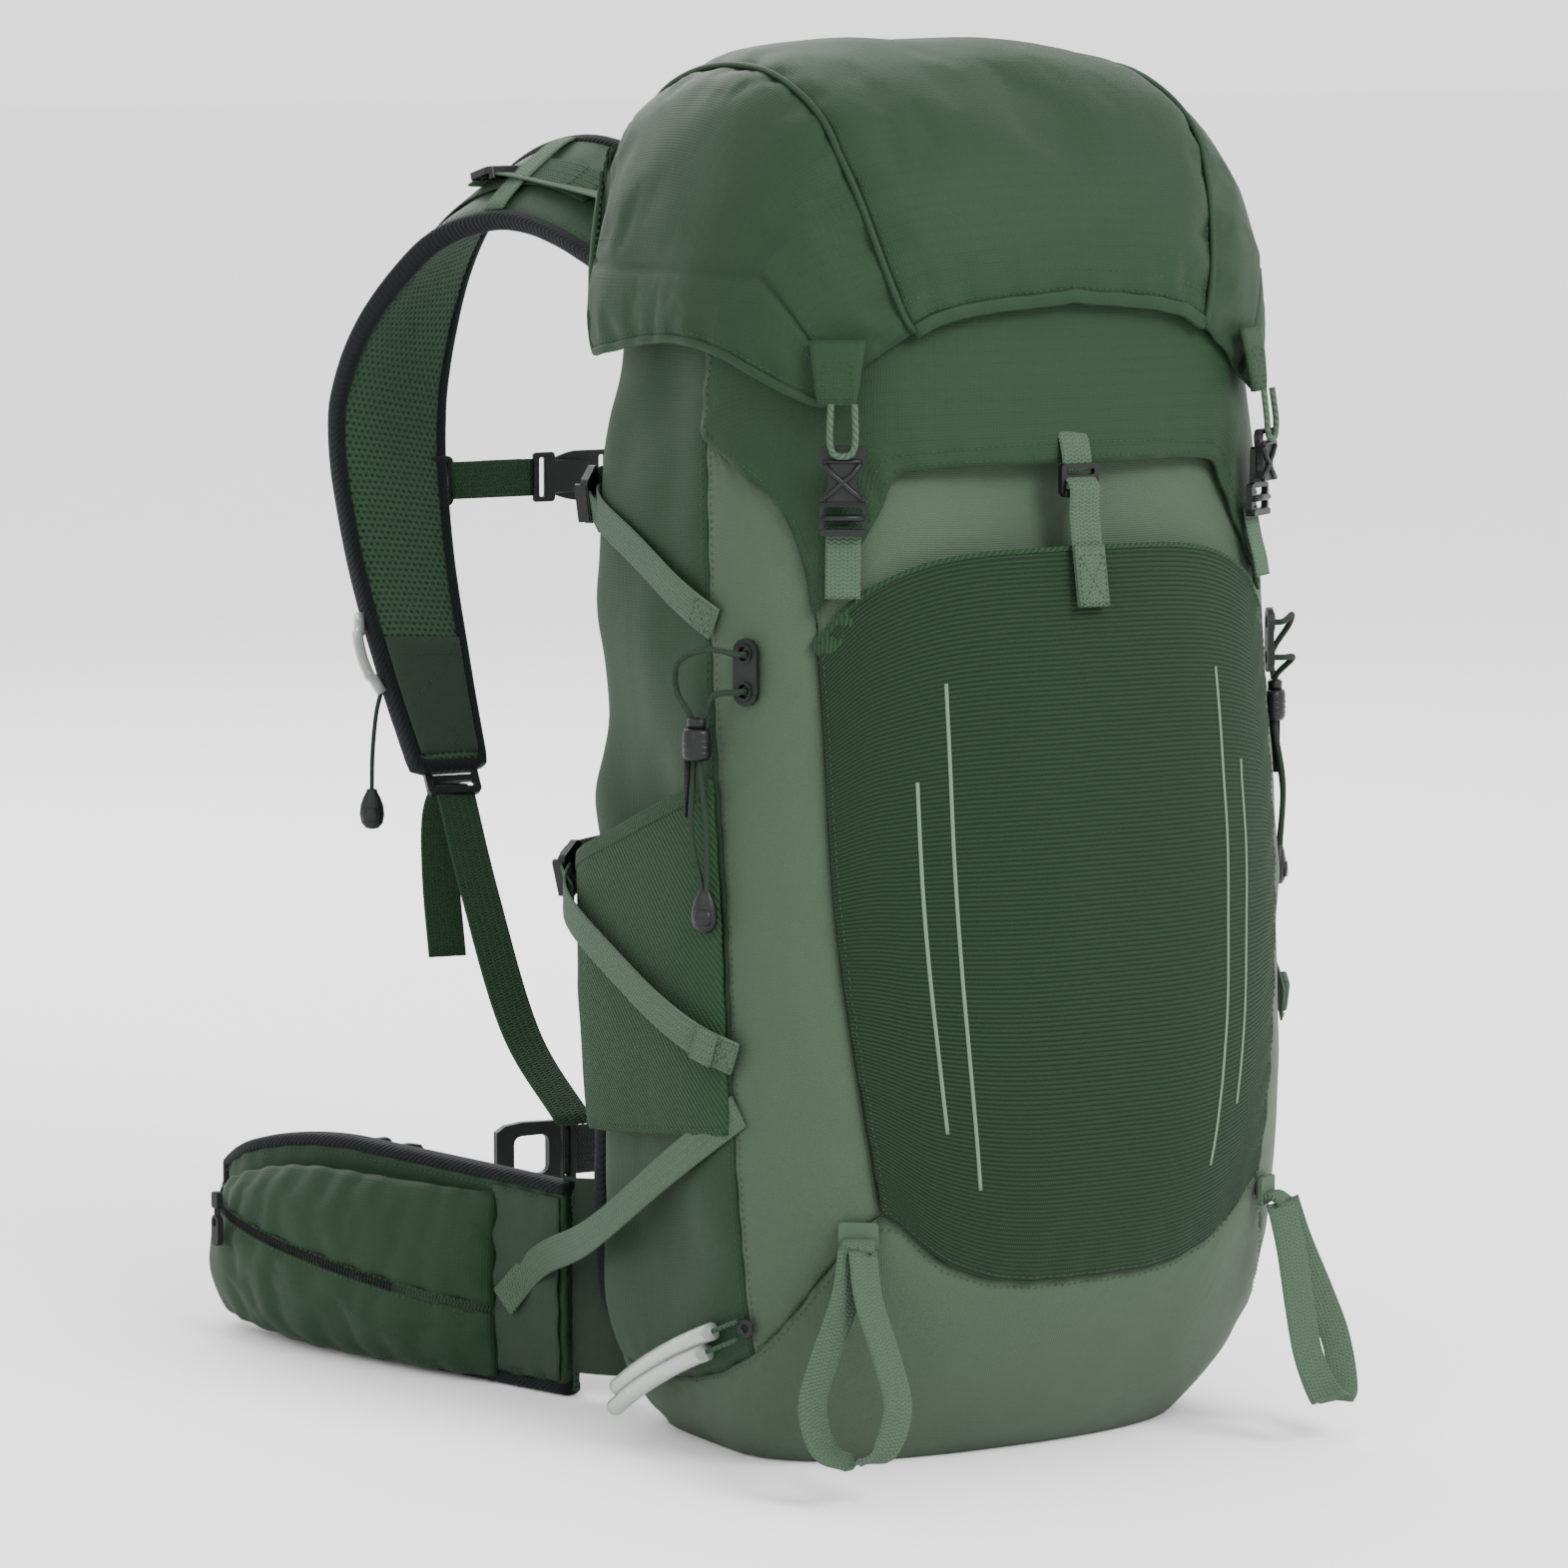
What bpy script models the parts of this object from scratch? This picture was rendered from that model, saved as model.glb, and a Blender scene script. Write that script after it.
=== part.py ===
"""A hiking backpack standing on its base: a bag sewn from separate panels, a hinged lid, shoulder harness and hip belt.

Metres, +Z up. X runs across the pack, the front faces -Y and the wearer's back is at +Y.
The origin is the middle of the flat underside. Soft pieces are open surfaces made into shells by Solidify.
"""

from math import cos, pi, radians, sin

import bmesh
import bpy
from mathutils import Matrix, Vector
from mathutils.geometry import tessellate_polygon

# Driving dimensions
HALF_WIDTH = 0.150  # widest half section, at a SIZE of 1
FRONT_REACH = 0.1175
BACK_REACH = 0.095
FRONT_POWER = 2.5
BACK_POWER = 5.0
FABRIC = 0.0018
POCKET_FABRIC = 0.0016
SEAM = 0.52  # half the gap between panels, in degrees round the bag
PANEL_TOP = 0.505
BACK_CORNER = 131
HINGE_Y, HINGE_Z = 0.106, 0.566
LID_HALF_WIDTH = 0.1385
LID_FRONT, LID_BACK = 0.1030, 0.1045
LID_FLARE = 0.0050
WEBBING = 0.0015
NARROW_WEBBING = 0.015
BELT_WEBBING = 0.025
STRAP_WIDTH, STRAP_THICKNESS = 0.058, 0.009
WING_THICKNESS = 0.010
SIDES = (("left", -1), ("right", 1))

# Sizes of the bag's section by height: its width, its front half and its back half
SIZE = (
    (0.0, 0.74), (0.018, 0.84), (0.04, 0.91), (0.06, 0.95), (0.105, 0.968), (0.15, 0.978), (0.24, 0.972),
    (0.325, 0.955), (0.41, 0.922), (0.455, 0.886), (0.505, 0.852), (0.56, 0.85),
)
FRONT_SIZE = (
    (0.0, 0.50), (0.018, 0.66), (0.04, 0.79), (0.07, 0.93), (0.105, 1.02), (0.15, 1.07), (0.24, 1.05),
    (0.325, 0.975), (0.41, 0.87), (0.455, 0.826), (0.505, 0.785), (0.56, 0.76),
)
BACK_SIZE = ((0.0, 0.90), (0.02, 0.96), (0.05, 0.99), (0.09, 1.0), (0.62, 1.0))
# Seams, in degrees round the bag from the middle of its front, by height
GUSSET_REAR = ((0.03, 67.5), (0.10, 68.5), (0.24, 71.5), (0.36, 77.0), (0.42, 80.2), (0.455, 82.4), (0.60, 82.4))
GUSSET_FRONT = ((0.03, 42.1), (0.10, 42.1), (0.24, 50.4), (0.38, 56.5), (0.42, 63.6), (0.448, 79.0), (0.60, 81.6))
# Heights by degrees from the middle of the front: base seam, pocket's foot and rim, upper panel's lower edge
BASE_SEAM = (
    (0, 0.085), (20, 0.087), (33, 0.098), (42, 0.118), (50, 0.100), (60, 0.070), (68, 0.052), (80, 0.038),
    (100, 0.0302), (180, 0.0300),
)
POCKET_FOOT = ((0, 0.0875), (20, 0.0895), (33, 0.1005), (42, 0.121), (50, 0.136))
POCKET_RIM = ((0, 0.400), (30, 0.397), (46, 0.384), (56, 0.362))
UPPER_EDGE = ((0, 0.436), (30, 0.4345), (36, 0.429), (45, 0.407), (57, 0.374))
LID_EDGE = ((0, 0.507), (30, 0.499), (44, 0.480), (52, 0.4645), (58, 0.4660), (75, 0.484), (90, 0.488), (116, 0.479))

GREEN = (0.040, 0.085, 0.045, 1)
SAGE = (0.115, 0.165, 0.115, 1)
BLACK = (0.012, 0.012, 0.013, 1)
CLEAR = (0.50, 0.53, 0.50, 1)
ALLOY = (0.6, 0.61, 0.62, 1)
WHITE_PLASTIC = (0.7, 0.7, 0.68, 1)


def clear_scene():
    for obj in list(bpy.data.objects):
        bpy.data.objects.remove(obj)
    bpy.context.scene.collection.children.link(bpy.data.collections.new("hiking_backpack"))


def material(name, colour, roughness, metallic=0.0):
    made = bpy.data.materials.new(name)
    made.use_nodes = True
    shader = made.node_tree.nodes["Principled BSDF"]
    shader.inputs["Base Color"].default_value = colour
    shader.inputs["Roughness"].default_value = roughness
    shader.inputs["Metallic"].default_value = metallic
    return made


def mix(a, b, share):
    return a + (b - a) * share


def spread(first, last, count):
    return [mix(first, last, i / (count - 1)) for i in range(count)]


def profile(stations, at):
    """A smooth value through (position, value) stations, held flat beyond both ends."""
    if at <= stations[0][0]:
        return stations[0][1]
    if at >= stations[-1][0]:
        return stations[-1][1]
    i = next(i for i in range(len(stations) - 1) if at <= stations[i + 1][0])

    def slope(j):
        before, after = stations[max(j - 1, 0)], stations[min(j + 1, len(stations) - 1)]
        return (after[1] - before[1]) / (after[0] - before[0])

    (start, first), (end, last) = stations[i], stations[i + 1]
    width = end - start
    t = (at - start) / width
    return (
        first * (2 * t**3 - 3 * t**2 + 1)
        + slope(i) * width * (t**3 - 2 * t**2 + t)
        + last * (3 * t**2 - 2 * t**3)
        + slope(i + 1) * width * (t**3 - t**2)
    )


def oval(turn, half_width, front, back):
    """A point of a plan section, turn degrees round from the middle of the front towards +X."""
    across, ahead = sin(radians(turn)), cos(radians(turn))
    reach, power = (front, FRONT_POWER) if ahead >= 0 else (back, BACK_POWER)
    size = ((abs(across) / half_width) ** power + (abs(ahead) / reach) ** power) ** (-1 / power)
    return Vector((across * size, -ahead * size, 0))


def bag_point(turn, height, out=0.0):
    """A point of the bag's outer surface, moved outwards by out."""
    front = FRONT_REACH * profile(FRONT_SIZE, height) + out
    back = BACK_REACH * profile(BACK_SIZE, height) + out
    point = oval(turn, HALF_WIDTH * profile(SIZE, height) + out, front, back)
    point.z = height
    return point


def smooth_line(points, count):
    """Points spaced along a smooth curve through the given ones."""
    points = [Vector(p) for p in points]
    ends = [points[0] * 2 - points[1], *points, points[-1] * 2 - points[-2]]
    made = []
    for at in spread(0, len(points) - 1, count):
        i = min(int(at), len(points) - 2)
        t = at - i
        a, b, c, d = ends[i : i + 4]
        made.append(
            0.5 * (2 * b + (c - a) * t + (2 * a - 5 * b + 4 * c - d) * t**2 + (3 * b - a - 3 * c + d) * t**3)
        )
    return made


def add(name, shape, mat):
    mesh = bpy.data.meshes.new(name)
    shape.to_mesh(mesh)
    shape.free()
    obj = bpy.data.objects.new(name, mesh)
    obj.data.materials.append(mat)
    bpy.data.collections["hiking_backpack"].objects.link(obj)
    return obj


def shell(name, rows, mat, thickness, closed=False, cap=False, offset=-1.0):
    """An open surface through rows of points, thickened inwards (offset -1), outwards (1) or both ways (0)."""
    shape = bmesh.new()
    lines = [[shape.verts.new(point) for point in row] for row in rows]
    for lower, upper in zip(lines, lines[1:]):
        count = len(lower)
        for i in range(count if closed else count - 1):
            j = (i + 1) % count
            shape.faces.new((lower[i], lower[j], upper[j], upper[i]))
    if cap:
        shape.faces.new(lines[-1])
    for face in shape.faces:
        face.smooth = True
    obj = add(name, shape, mat)
    skin = obj.modifiers.new("thickness", "SOLIDIFY")
    skin.thickness = thickness
    skin.offset = offset
    return obj


def plate(name, loops, depth, mat, place):
    """A flat moulding: an outline with holes in local X and Z, its depth along local Y, then placed."""
    shape = bmesh.new()
    flat = [[Vector((x, z, 0)) for x, z in loop] for loop in loops]
    triangles = tessellate_polygon(flat)
    points = [p for loop in flat for p in loop]
    faces = [[shape.verts.new((p.x, y, p.y)) for p in points] for y in (-depth / 2, depth / 2)]
    for a, b, c in triangles:
        shape.faces.new((faces[0][a], faces[0][b], faces[0][c]))
        shape.faces.new((faces[1][c], faces[1][b], faces[1][a]))
    start = 0
    for loop in flat:
        for i in range(len(loop)):
            a, b = start + i, start + (i + 1) % len(loop)
            shape.faces.new((faces[0][a], faces[0][b], faces[1][b], faces[1][a]))
        start += len(loop)
    bmesh.ops.recalc_face_normals(shape, faces=shape.faces)
    bmesh.ops.transform(shape, matrix=place, verts=shape.verts)
    return add(name, shape, mat)


def rounded(width, height, radius, x=0.0, z=0.0, steps=4):
    """A rounded rectangle about (x, z)."""
    loop = []
    for corner, (sx, sz) in enumerate(((1, 1), (-1, 1), (-1, -1), (1, -1))):
        for a in spread(corner * pi / 2, (corner + 1) * pi / 2, steps):
            loop.append(
                (x + sx * (width / 2 - radius) + radius * cos(a), z + sz * (height / 2 - radius) + radius * sin(a))
            )
    return loop


def tube(name, points, radius, mat, sides=8):
    """A round bar along a line, closed at both ends."""
    points = [Vector(p) for p in points]
    shape = bmesh.new()
    lines = []
    side = (points[1] - points[0]).cross(Vector((0.31, 0.52, 0.8))).normalized()
    for i, point in enumerate(points):
        run = (points[min(i + 1, len(points) - 1)] - points[max(i - 1, 0)]).normalized()
        side = (side - run * side.dot(run)).normalized()
        other = run.cross(side)
        ring = [side * cos(a) + other * sin(a) for a in spread(0, 2 * pi, sides + 1)[:-1]]
        lines.append([shape.verts.new(point + way * radius) for way in ring])
    for lower, upper in zip(lines, lines[1:]):
        for i in range(sides):
            j = (i + 1) % sides
            shape.faces.new((lower[i], lower[j], upper[j], upper[i]))
    shape.faces.new(list(reversed(lines[0])))
    shape.faces.new(lines[-1])
    for face in shape.faces:
        face.smooth = len(face.verts) == 4
    return add(name, shape, mat)


def ribbon(name, path, facings, width, mat, thickness=WEBBING):
    """A flat strap along a path: facings are the ways its flat side looks, one for each point or one for all."""
    count = len(path)
    if isinstance(facings, Vector):
        facings = [facings] * count
    widths = width if isinstance(width, (list, tuple)) else [width] * count
    rows = []
    for i, point in enumerate(path):
        run = (path[min(i + 1, count - 1)] - path[max(i - 1, 0)]).normalized()
        across = run.cross(facings[i]).normalized()
        rows.append([point - across * widths[i] / 2, point + across * widths[i] / 2])
    return shell(name, rows, mat, thickness, offset=0.0)


def stand(turn, height, out, lean=0.0):
    """A frame on the bag's wall: local -Y looks straight out, local Z is up. lean tips the top backwards."""
    ahead = bag_point(turn + 0.5, height) - bag_point(turn - 0.5, height)
    outward = Vector((ahead.y, -ahead.x, 0)).normalized()
    base = bag_point(turn, height) + outward * out
    turned = Matrix(((-outward.y, -outward.x, 0), (outward.x, -outward.y, 0), (0, 0, 1))).to_4x4()
    return Matrix.Translation(base) @ turned @ Matrix.Rotation(radians(lean), 4, "X")


# ---------------------------------------------------------------- bag


def make_base(sage):
    turns = spread(180, -180, 73)[:-1]
    rows = []
    for share in (1.0, 0.8, 0.6, 0.42, 0.26, 0.12, 0.03, 0.0):
        rows.append([bag_point(t, profile(BASE_SEAM, abs(t)) * share - 0.0003 * share) for t in turns])
    shell("base_panel", rows, sage, FABRIC, closed=True, cap=True)


def wall(name, edges, foot, top, mat, columns, rows=10, recess=0.0, recess_top=9.0):
    """A panel of the bag's wall. edges gives both seams' turns at a height, foot the lower edge's height."""
    lines = []
    for share in spread(0, 1, rows):
        line = []
        for across in spread(0, 1, columns):
            low = foot(mix(*edges(0.09), across))
            low = foot(mix(*edges(low), across))
            height = mix(low, top, share)
            first, last = edges(height)
            turn = mix(first, last, across)
            sunk = recess * (1 - (2 * across - 1) ** 2) ** 2 * min(1.0, (height - low) / 0.06)
            sunk *= min(1.0, max(0.0, (recess_top - height) / 0.06))
            line.append(bag_point(turn, height, -sunk))
        lines.append(line)
    return shell(name, lines, mat, FABRIC)


def base_seam(turn):
    return profile(BASE_SEAM, abs(turn)) + 0.0026


def make_walls(green, sage):
    def front_edges(height):
        edge = profile(GUSSET_FRONT, height) - 2 * SEAM
        return -edge, edge

    wall("front_panel", front_edges, base_seam, 0.470, sage, 17, rows=14, recess=0.010)
    for side, sign in SIDES:

        def gusset_edges(height):
            pair = profile(GUSSET_FRONT, height) + SEAM, profile(GUSSET_REAR, height) - SEAM
            return sorted(sign * edge for edge in pair)

        def side_edges(height):
            return sorted(sign * edge for edge in (profile(GUSSET_REAR, height) + SEAM, BACK_CORNER - SEAM))

        wall(f"gusset_{side}", gusset_edges, base_seam, 0.445, sage, 4, rows=22)
        wall(f"side_panel_{side}", side_edges, base_seam, PANEL_TOP, green, 8, 22, 0.008, 0.36)
    rows = []
    for height in spread(0.0318, 0.553, 10):
        edge = bag_point(BACK_CORNER + SEAM, height)
        rows.append([Vector((x, bag_point(180 - x * 300, height).y, height)) for x in spread(edge.x, -edge.x, 7)])
        rows[-1][0], rows[-1][-1] = edge, Vector((-edge.x, edge.y, height))
    shell("back_panel", rows, green, FABRIC)
    # The upper front panel overlaps the pale panel below it.
    rows = []
    for share in spread(0, 1, 7):
        line = []
        for across in spread(-1, 1, 17):
            height = mix(profile(UPPER_EDGE, abs(across) * 57), PANEL_TOP, share)
            edge = profile(GUSSET_FRONT, height) - SEAM
            line.append(bag_point(across * edge, height, 0.0012))
        rows.append(line)
    shell("upper_front_panel", rows, green, 0.0018, offset=1.0)
    # The drawcord collar stands inside the mouth.
    turns = spread(-BACK_CORNER + 5, BACK_CORNER - 5, 29)
    stations = ((0.478, 0.0045), (0.500, 0.0065), (0.518, 0.013), (0.530, 0.024))
    rows = [[bag_point(t, z, -inset) for t in turns] for z, inset in stations]
    shell("collar", rows, green, 0.0014)


def make_frame(black, white, alloy):
    """The stiff sheet and the bent rod that carry the load, and the ridged foam against the wearer's back."""
    place = Matrix.Translation((0, BACK_REACH + 0.0020, 0.285))
    plate("frame_sheet", [rounded(0.190, 0.400, 0.03)], 0.0016, white, place)
    half, low, top, bend = 0.080, 0.10, 0.465, 0.035
    corner = [(half - bend + bend * cos(a), top - bend + bend * sin(a)) for a in spread(0, pi / 2, 6)]
    outline = [(half, low), *corner]
    outline += [(-x, z) for x, z in reversed(outline)]
    tube("frame_stay", [(x, BACK_REACH + 0.0062, z) for x, z in outline], 0.0022, alloy)
    rows = []
    for z in spread(0.045, 0.478, 14):
        lumbar = 0.011 * max(0.0, 1 - (abs(z - 0.105) / 0.075) ** 2)
        half_width = 0.108 - 0.030 * min(1.0, max(0.0, (z - 0.16) / 0.30))
        line = [Vector((x, BACK_REACH + 0.021 + lumbar - 20 * lumbar * x * x, z)) for x in spread(half_width, -half_width, 9)]
        rows.append(line)
    shell("back_pad", rows, black, 0.011)


def make_pockets(green):
    """The stretch front pocket and the slanted side pockets, each standing off the wall it is sewn to."""
    rows = []
    for share in spread(0, 1, 11):
        line = []
        for across in spread(-1, 1, 17):
            height = mix(profile(POCKET_FOOT, abs(across) * 43), profile(POCKET_RIM, abs(across) * 56), share)
            edge = profile(GUSSET_FRONT, height) - SEAM
            belly = (1 - across**2) * min(1.0, share / 0.25)
            line.append(bag_point(across * edge, height, 0.0007 + 0.004 * belly))
        rows.append(line)
    shell("front_pocket", rows, green, POCKET_FABRIC, offset=1.0)
    for side, sign in SIDES:
        rows = []
        for share in spread(0, 1, 8):
            line = []
            for across in spread(0, 1, 10):
                forward = across if sign < 0 else 1 - across
                height = mix(mix(0.132, 0.150, forward), mix(0.245, 0.302, forward), share)
                turn = sign * mix(BACK_CORNER - 6, profile(GUSSET_REAR, height) + 1.2, forward)
                belly = sin(pi * forward) ** 0.7 * min(1.0, 0.05 + share * 1.8)
                line.append(bag_point(turn, height, 0.0014 + 0.005 * belly))
            rows.append(line)
        shell(f"side_pocket_{side}", rows, green, POCKET_FABRIC, offset=1.0)


def wall_strap(name, sign, stops, mat, width=NARROW_WEBBING, count=9):
    """Webbing lying on the bag's wall: stops are (turn, height, distance off the wall)."""
    line = smooth_line(stops, count)
    path = [bag_point(sign * p.x, p.y, p.z) for p in line]
    facings = []
    for p, point in zip(line, path):
        ahead = bag_point(sign * p.x + 0.5, p.y) - bag_point(sign * p.x - 0.5, p.y)
        facings.append(Vector((ahead.y, -ahead.x, 0)).normalized())
    return ribbon(name, path, facings, width, mat)


def make_straps(sage):
    for side, sign in SIDES:
        stops = ((75, 0.368, 0.0026), (87, 0.381, 0.003), (104, 0.399, 0.003), (121, 0.413, 0.003))
        wall_strap(f"upper_strap_{side}", sign, stops, sage)
        stops = ((67.5, 0.184, 0.0045), (74, 0.190, 0.0080), (82, 0.200, 0.0115), (95, 0.215, 0.0125))
        stops += ((110, 0.232, 0.0120), (122, 0.245, 0.0095))
        wall_strap(f"lower_strap_{side}", sign, stops, sage, count=13)


def make_axe_loops(sage):
    """Webbing loops hanging from the lower corners of the front pocket, each sewn on by its closed top."""
    for side, sign in SIDES:
        place = stand(sign * 47, 0.106, 0.0)
        outward, along = -place.col[1].xyz, place.col[0].xyz
        top = place.translation + outward * 0.012
        half = [(0.0022, 0.0), (0.005, -0.020), (0.0135, -0.045), (0.018, -0.064), (0.0125, -0.081), (0.0, -0.0865)]
        leg = smooth_line([(x, z, 0) for x, z in half], 11)
        ring = [(p.x, p.y) for p in leg] + [(-p.x, p.y) for p in reversed(leg[:-1])]
        path = [top + along * x + Vector((0, 0, z)) + outward * (-z * 0.30) for x, z in ring]
        tilt = (outward * 0.85 + along * 0.30 * sign).normalized()
        rows = []
        for i, point in enumerate(path):
            run = (path[min(i + 1, len(path) - 1)] - path[max(i - 1, 0)]).normalized()
            across = (tilt - run * tilt.dot(run)).normalized()
            rows.append([point - across * NARROW_WEBBING / 2, point + across * NARROW_WEBBING / 2])
        shell(f"axe_loop_{side}", rows, sage, WEBBING, offset=0.0)


def make_small_gear(sage, black, clear):
    for side, sign in SIDES:
        keeper = [rounded(0.012, 0.029, 0.0058), rounded(0.0048, 0.0060, 0.0022, z=0.0080)]
        keeper.append(rounded(0.0048, 0.0060, 0.0022, z=-0.0080))
        plate(f"lash_plate_{side}", keeper, 0.0024, black, stand(sign * 67.5, 0.349, 0.0036))
    ends = ((-0.1385, -0.053, 0.065), (-0.1465, -0.020, 0.050), (-0.1480, 0.012, 0.034), (-0.1455, 0.040, 0.0190))
    tube("pole_tube", smooth_line(ends, 9), 0.0042, clear, sides=10)
    arc = [(0.036 * cos(a), 0.030 * sin(a) ** 0.8) for a in spread(0, pi, 15)]
    path = [Vector((x, BACK_REACH + 0.0065 + 0.25 * z, 0.512 + z)) for x, z in arc]
    rows = []
    for i, point in enumerate(path):
        run = (path[min(i + 1, 14)] - path[max(i - 1, 0)]).normalized()
        across = run.cross(Vector((0, 0, 1)) if abs(run.z) < 0.9 else Vector((1, 0, 0)))
        across = Vector((0, 1, 0)) - run * run.y
        rows.append([point - across.normalized() * 0.005, point + across.normalized() * 0.005])
    shell("haul_loop", rows, black, 0.0024, offset=0.0)


# ---------------------------------------------------------------- lid


def lid_top_point(across, along):
    """The lid's top panel: across from -1 to 1 between its side seams, along from the front edge to the back."""
    middle = smooth_line(
        ((-0.1015, 0.507, 0), (-0.0955, 0.532, 0), (-0.082, 0.562, 0), (-0.059, 0.588, 0), (-0.022, 0.605, 0),
         (0.018, 0.612, 0), (0.060, 0.609, 0), (0.094, 0.595, 0), (0.1055, 0.571, 0)), 65,
    )
    at = middle[round(along * 64)]
    x = across * mix(0.074, 0.093, min(1.0, along / 0.3) ** 0.7)
    power = FRONT_POWER if at.x < 0 else BACK_POWER
    narrow = (1 - (abs(x) / LID_HALF_WIDTH) ** power) ** (1 / power)
    low = (1 - (abs(x) / 0.145) ** 3.2) ** (1 / 3.2)
    edge = profile(LID_EDGE, 36 * abs(across)) - 0.507
    height = 0.507 + (at.y - 0.507) * low + edge * max(0.0, 1 - along / 0.3)
    return Vector((x, at.x * narrow, height))


def lid_rim_turn(along):
    return mix(51.0, 130.0, along)


def lid_side_point(sign, down, along):
    """The lid's side cap and skirt: down from 0 at the top seam through 0.7 at the widest line to 1 at the edge."""
    seam = lid_top_point(sign, along)
    inner = lid_top_point(sign * 0.96, along)
    turn = lid_rim_turn(along)
    wide = oval(turn, LID_HALF_WIDTH, LID_FRONT, LID_BACK)
    edge = profile(LID_EDGE, turn) if turn < 116 else mix(0.479, 0.556, min(1.0, (turn - 116) / 12) ** 1.5)
    wide = Vector((wide.x * sign, wide.y, max(edge + 0.006, mix(edge + 0.004, 0.516, min(1.0, along * 5)))))
    if down > 0.7:
        hem = oval(turn, LID_HALF_WIDTH + LID_FLARE, LID_FRONT + LID_FLARE, LID_BACK)
        return wide.lerp(Vector((hem.x * sign, hem.y, edge)), (down - 0.7) / 0.3)
    t = down / 0.7
    reach = (wide - seam).length
    leave = (seam - inner).normalized() * reach * 0.75
    arrive = Vector((0, 0, -1)) * reach * 0.95 * min(1.0, along * 6 + 0.25)
    return (
        seam * (2 * t**3 - 3 * t**2 + 1) + leave * (t**3 - 2 * t**2 + t)
        + wide * (3 * t**2 - 2 * t**3) + arrive * (t**3 - t**2)
    )


def make_lid(green):
    rows = [[lid_top_point(across, along) for across in spread(-1, 1, 15)] for along in spread(0, 1, 17)]
    shell("lid_top", rows, green, FABRIC)
    for side, sign in SIDES:
        rows = []
        for along in spread(0, 1, 17):
            line = [lid_side_point(sign, down, along) for down in (0.02, 0.14, 0.28, 0.42, 0.56, 0.7, 0.85, 1.0)]
            rows.append(line if sign > 0 else line[::-1])
        shell(f"lid_side_{side}", rows, green, FABRIC)
    turns = spread(-180, 180, 37)[:-1]
    rim = [oval(t, 0.116, 0.080, 0.083) for t in turns]
    rows = [[Vector((p.x * s, p.y * s, 0.541 + 0.004 * (1 - s))) for p in rim] for s in (1.0, 0.7, 0.35)]
    shell("lid_base", rows, green, 0.0014, closed=True, cap=True, offset=1.0)


def make_lid_closure(sage, black):
    """Each side-release buckle: the socket's crossed front plate hangs on the lid's cord, the plug lies behind it."""
    for side, sign in SIDES:
        place = stand(sign * 52, 0.4275, 0.0125)
        half = ((0.0050, 0.0185), (0.0088, 0.0180), (0.0103, 0.0160), (0.0100, 0.0125), (0.0062, 0.0060))
        half += ((0.0058, 0.0025), (0.0098, -0.0035), (0.0100, -0.0045))
        outline = [*half, *[(-x, z) for x, z in reversed(half)]]
        slot = rounded(0.0125, 0.0030, 0.0012, z=0.0148)
        socket = place @ Matrix.Translation((0, -0.0020, 0))
        plate(f"lid_socket_{side}", [outline, slot], 0.0030, black, socket)
        half = ((0.0045, 0.0105), (0.0062, 0.0075), (0.0064, -0.0052), (0.0096, -0.0058), (0.0100, -0.0175), (0.0090, -0.0190))
        outline = [*half, *[(-x, z) for x, z in reversed(half)]]
        slots = [rounded(0.0160, 0.0032, 0.0012, z=z) for z in (-0.0090, -0.0150)]
        plate(f"lid_plug_{side}", [outline, *slots], 0.0028, black, place @ Matrix.Translation((0, 0.0014, 0)))
        outward, along, hold = -place.col[1].xyz, place.col[0].xyz, place.translation
        down = Vector((0, 0, 1))
        path = [hold + outward * o + down * z for o, z in ((-0.0040, -0.0165), (-0.0022, -0.030), (0.0008, -0.044))]
        ribbon(f"lid_webbing_{side}", smooth_line(path, 6), outward, NARROW_WEBBING, sage)
        # The cord loop from the lid's stitched corner down through the socket's slot and back up.
        top = hold + down * 0.0330 + outward * 0.0030
        loop = [top + along * 0.0050, hold + outward * 0.0048 + along * 0.0052 + down * 0.0200]
        loop += [hold + outward * 0.0052 + along * 0.0036 + down * 0.0153, hold + outward * 0.0052 + down * 0.0149]
        loop += [p - along * 2 * (p - hold).dot(along) for p in reversed(loop[:-1])]
        tube(f"lid_cord_{side}", smooth_line(loop, 21), 0.0013, sage, sides=6)


def make_front_buckle(sage, black):
    place = stand(0, 0.4290, 0.0062)
    slots = [rounded(0.0145, 0.0028, 0.0010, z=z) for z in (0.0030, -0.0030)]
    plate("front_buckle", [rounded(0.0190, 0.0135, 0.0020), *slots], 0.0030, black, place)
    ys = [(bag_point(0, z).y - out, z) for z, out in ((0.4195, 0.0088), (0.407, 0.0100), (0.389, 0.0105), (0.3755, 0.0105))]
    path = smooth_line([(0, y, z) for y, z in ys], 8)
    ribbon("front_webbing", path, Vector((0, -1, 0)), 0.0155, sage)


# ---------------------------------------------------------------- harness


# How far the shoulder strap leans down towards the shoulder's outer end, along its path.
STRAP_LEAN = ((0, 0), (2, 6), (5, 28), (8, 36), (12, 30), (15, 12), (18, 2), (24, 0))


def strap_path(sign):
    stops = ((0.046, 0.1225, 0.468), (0.050, 0.150, 0.508), (0.056, 0.190, 0.535), (0.064, 0.245, 0.547))
    stops += ((0.073, 0.300, 0.532), (0.084, 0.336, 0.490), (0.095, 0.347, 0.435), (0.103, 0.322, 0.375))
    stops += ((0.108, 0.288, 0.320), (0.109, 0.262, 0.276))
    return smooth_line([(sign * x, y, z) for x, y, z in stops], 25)


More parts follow.
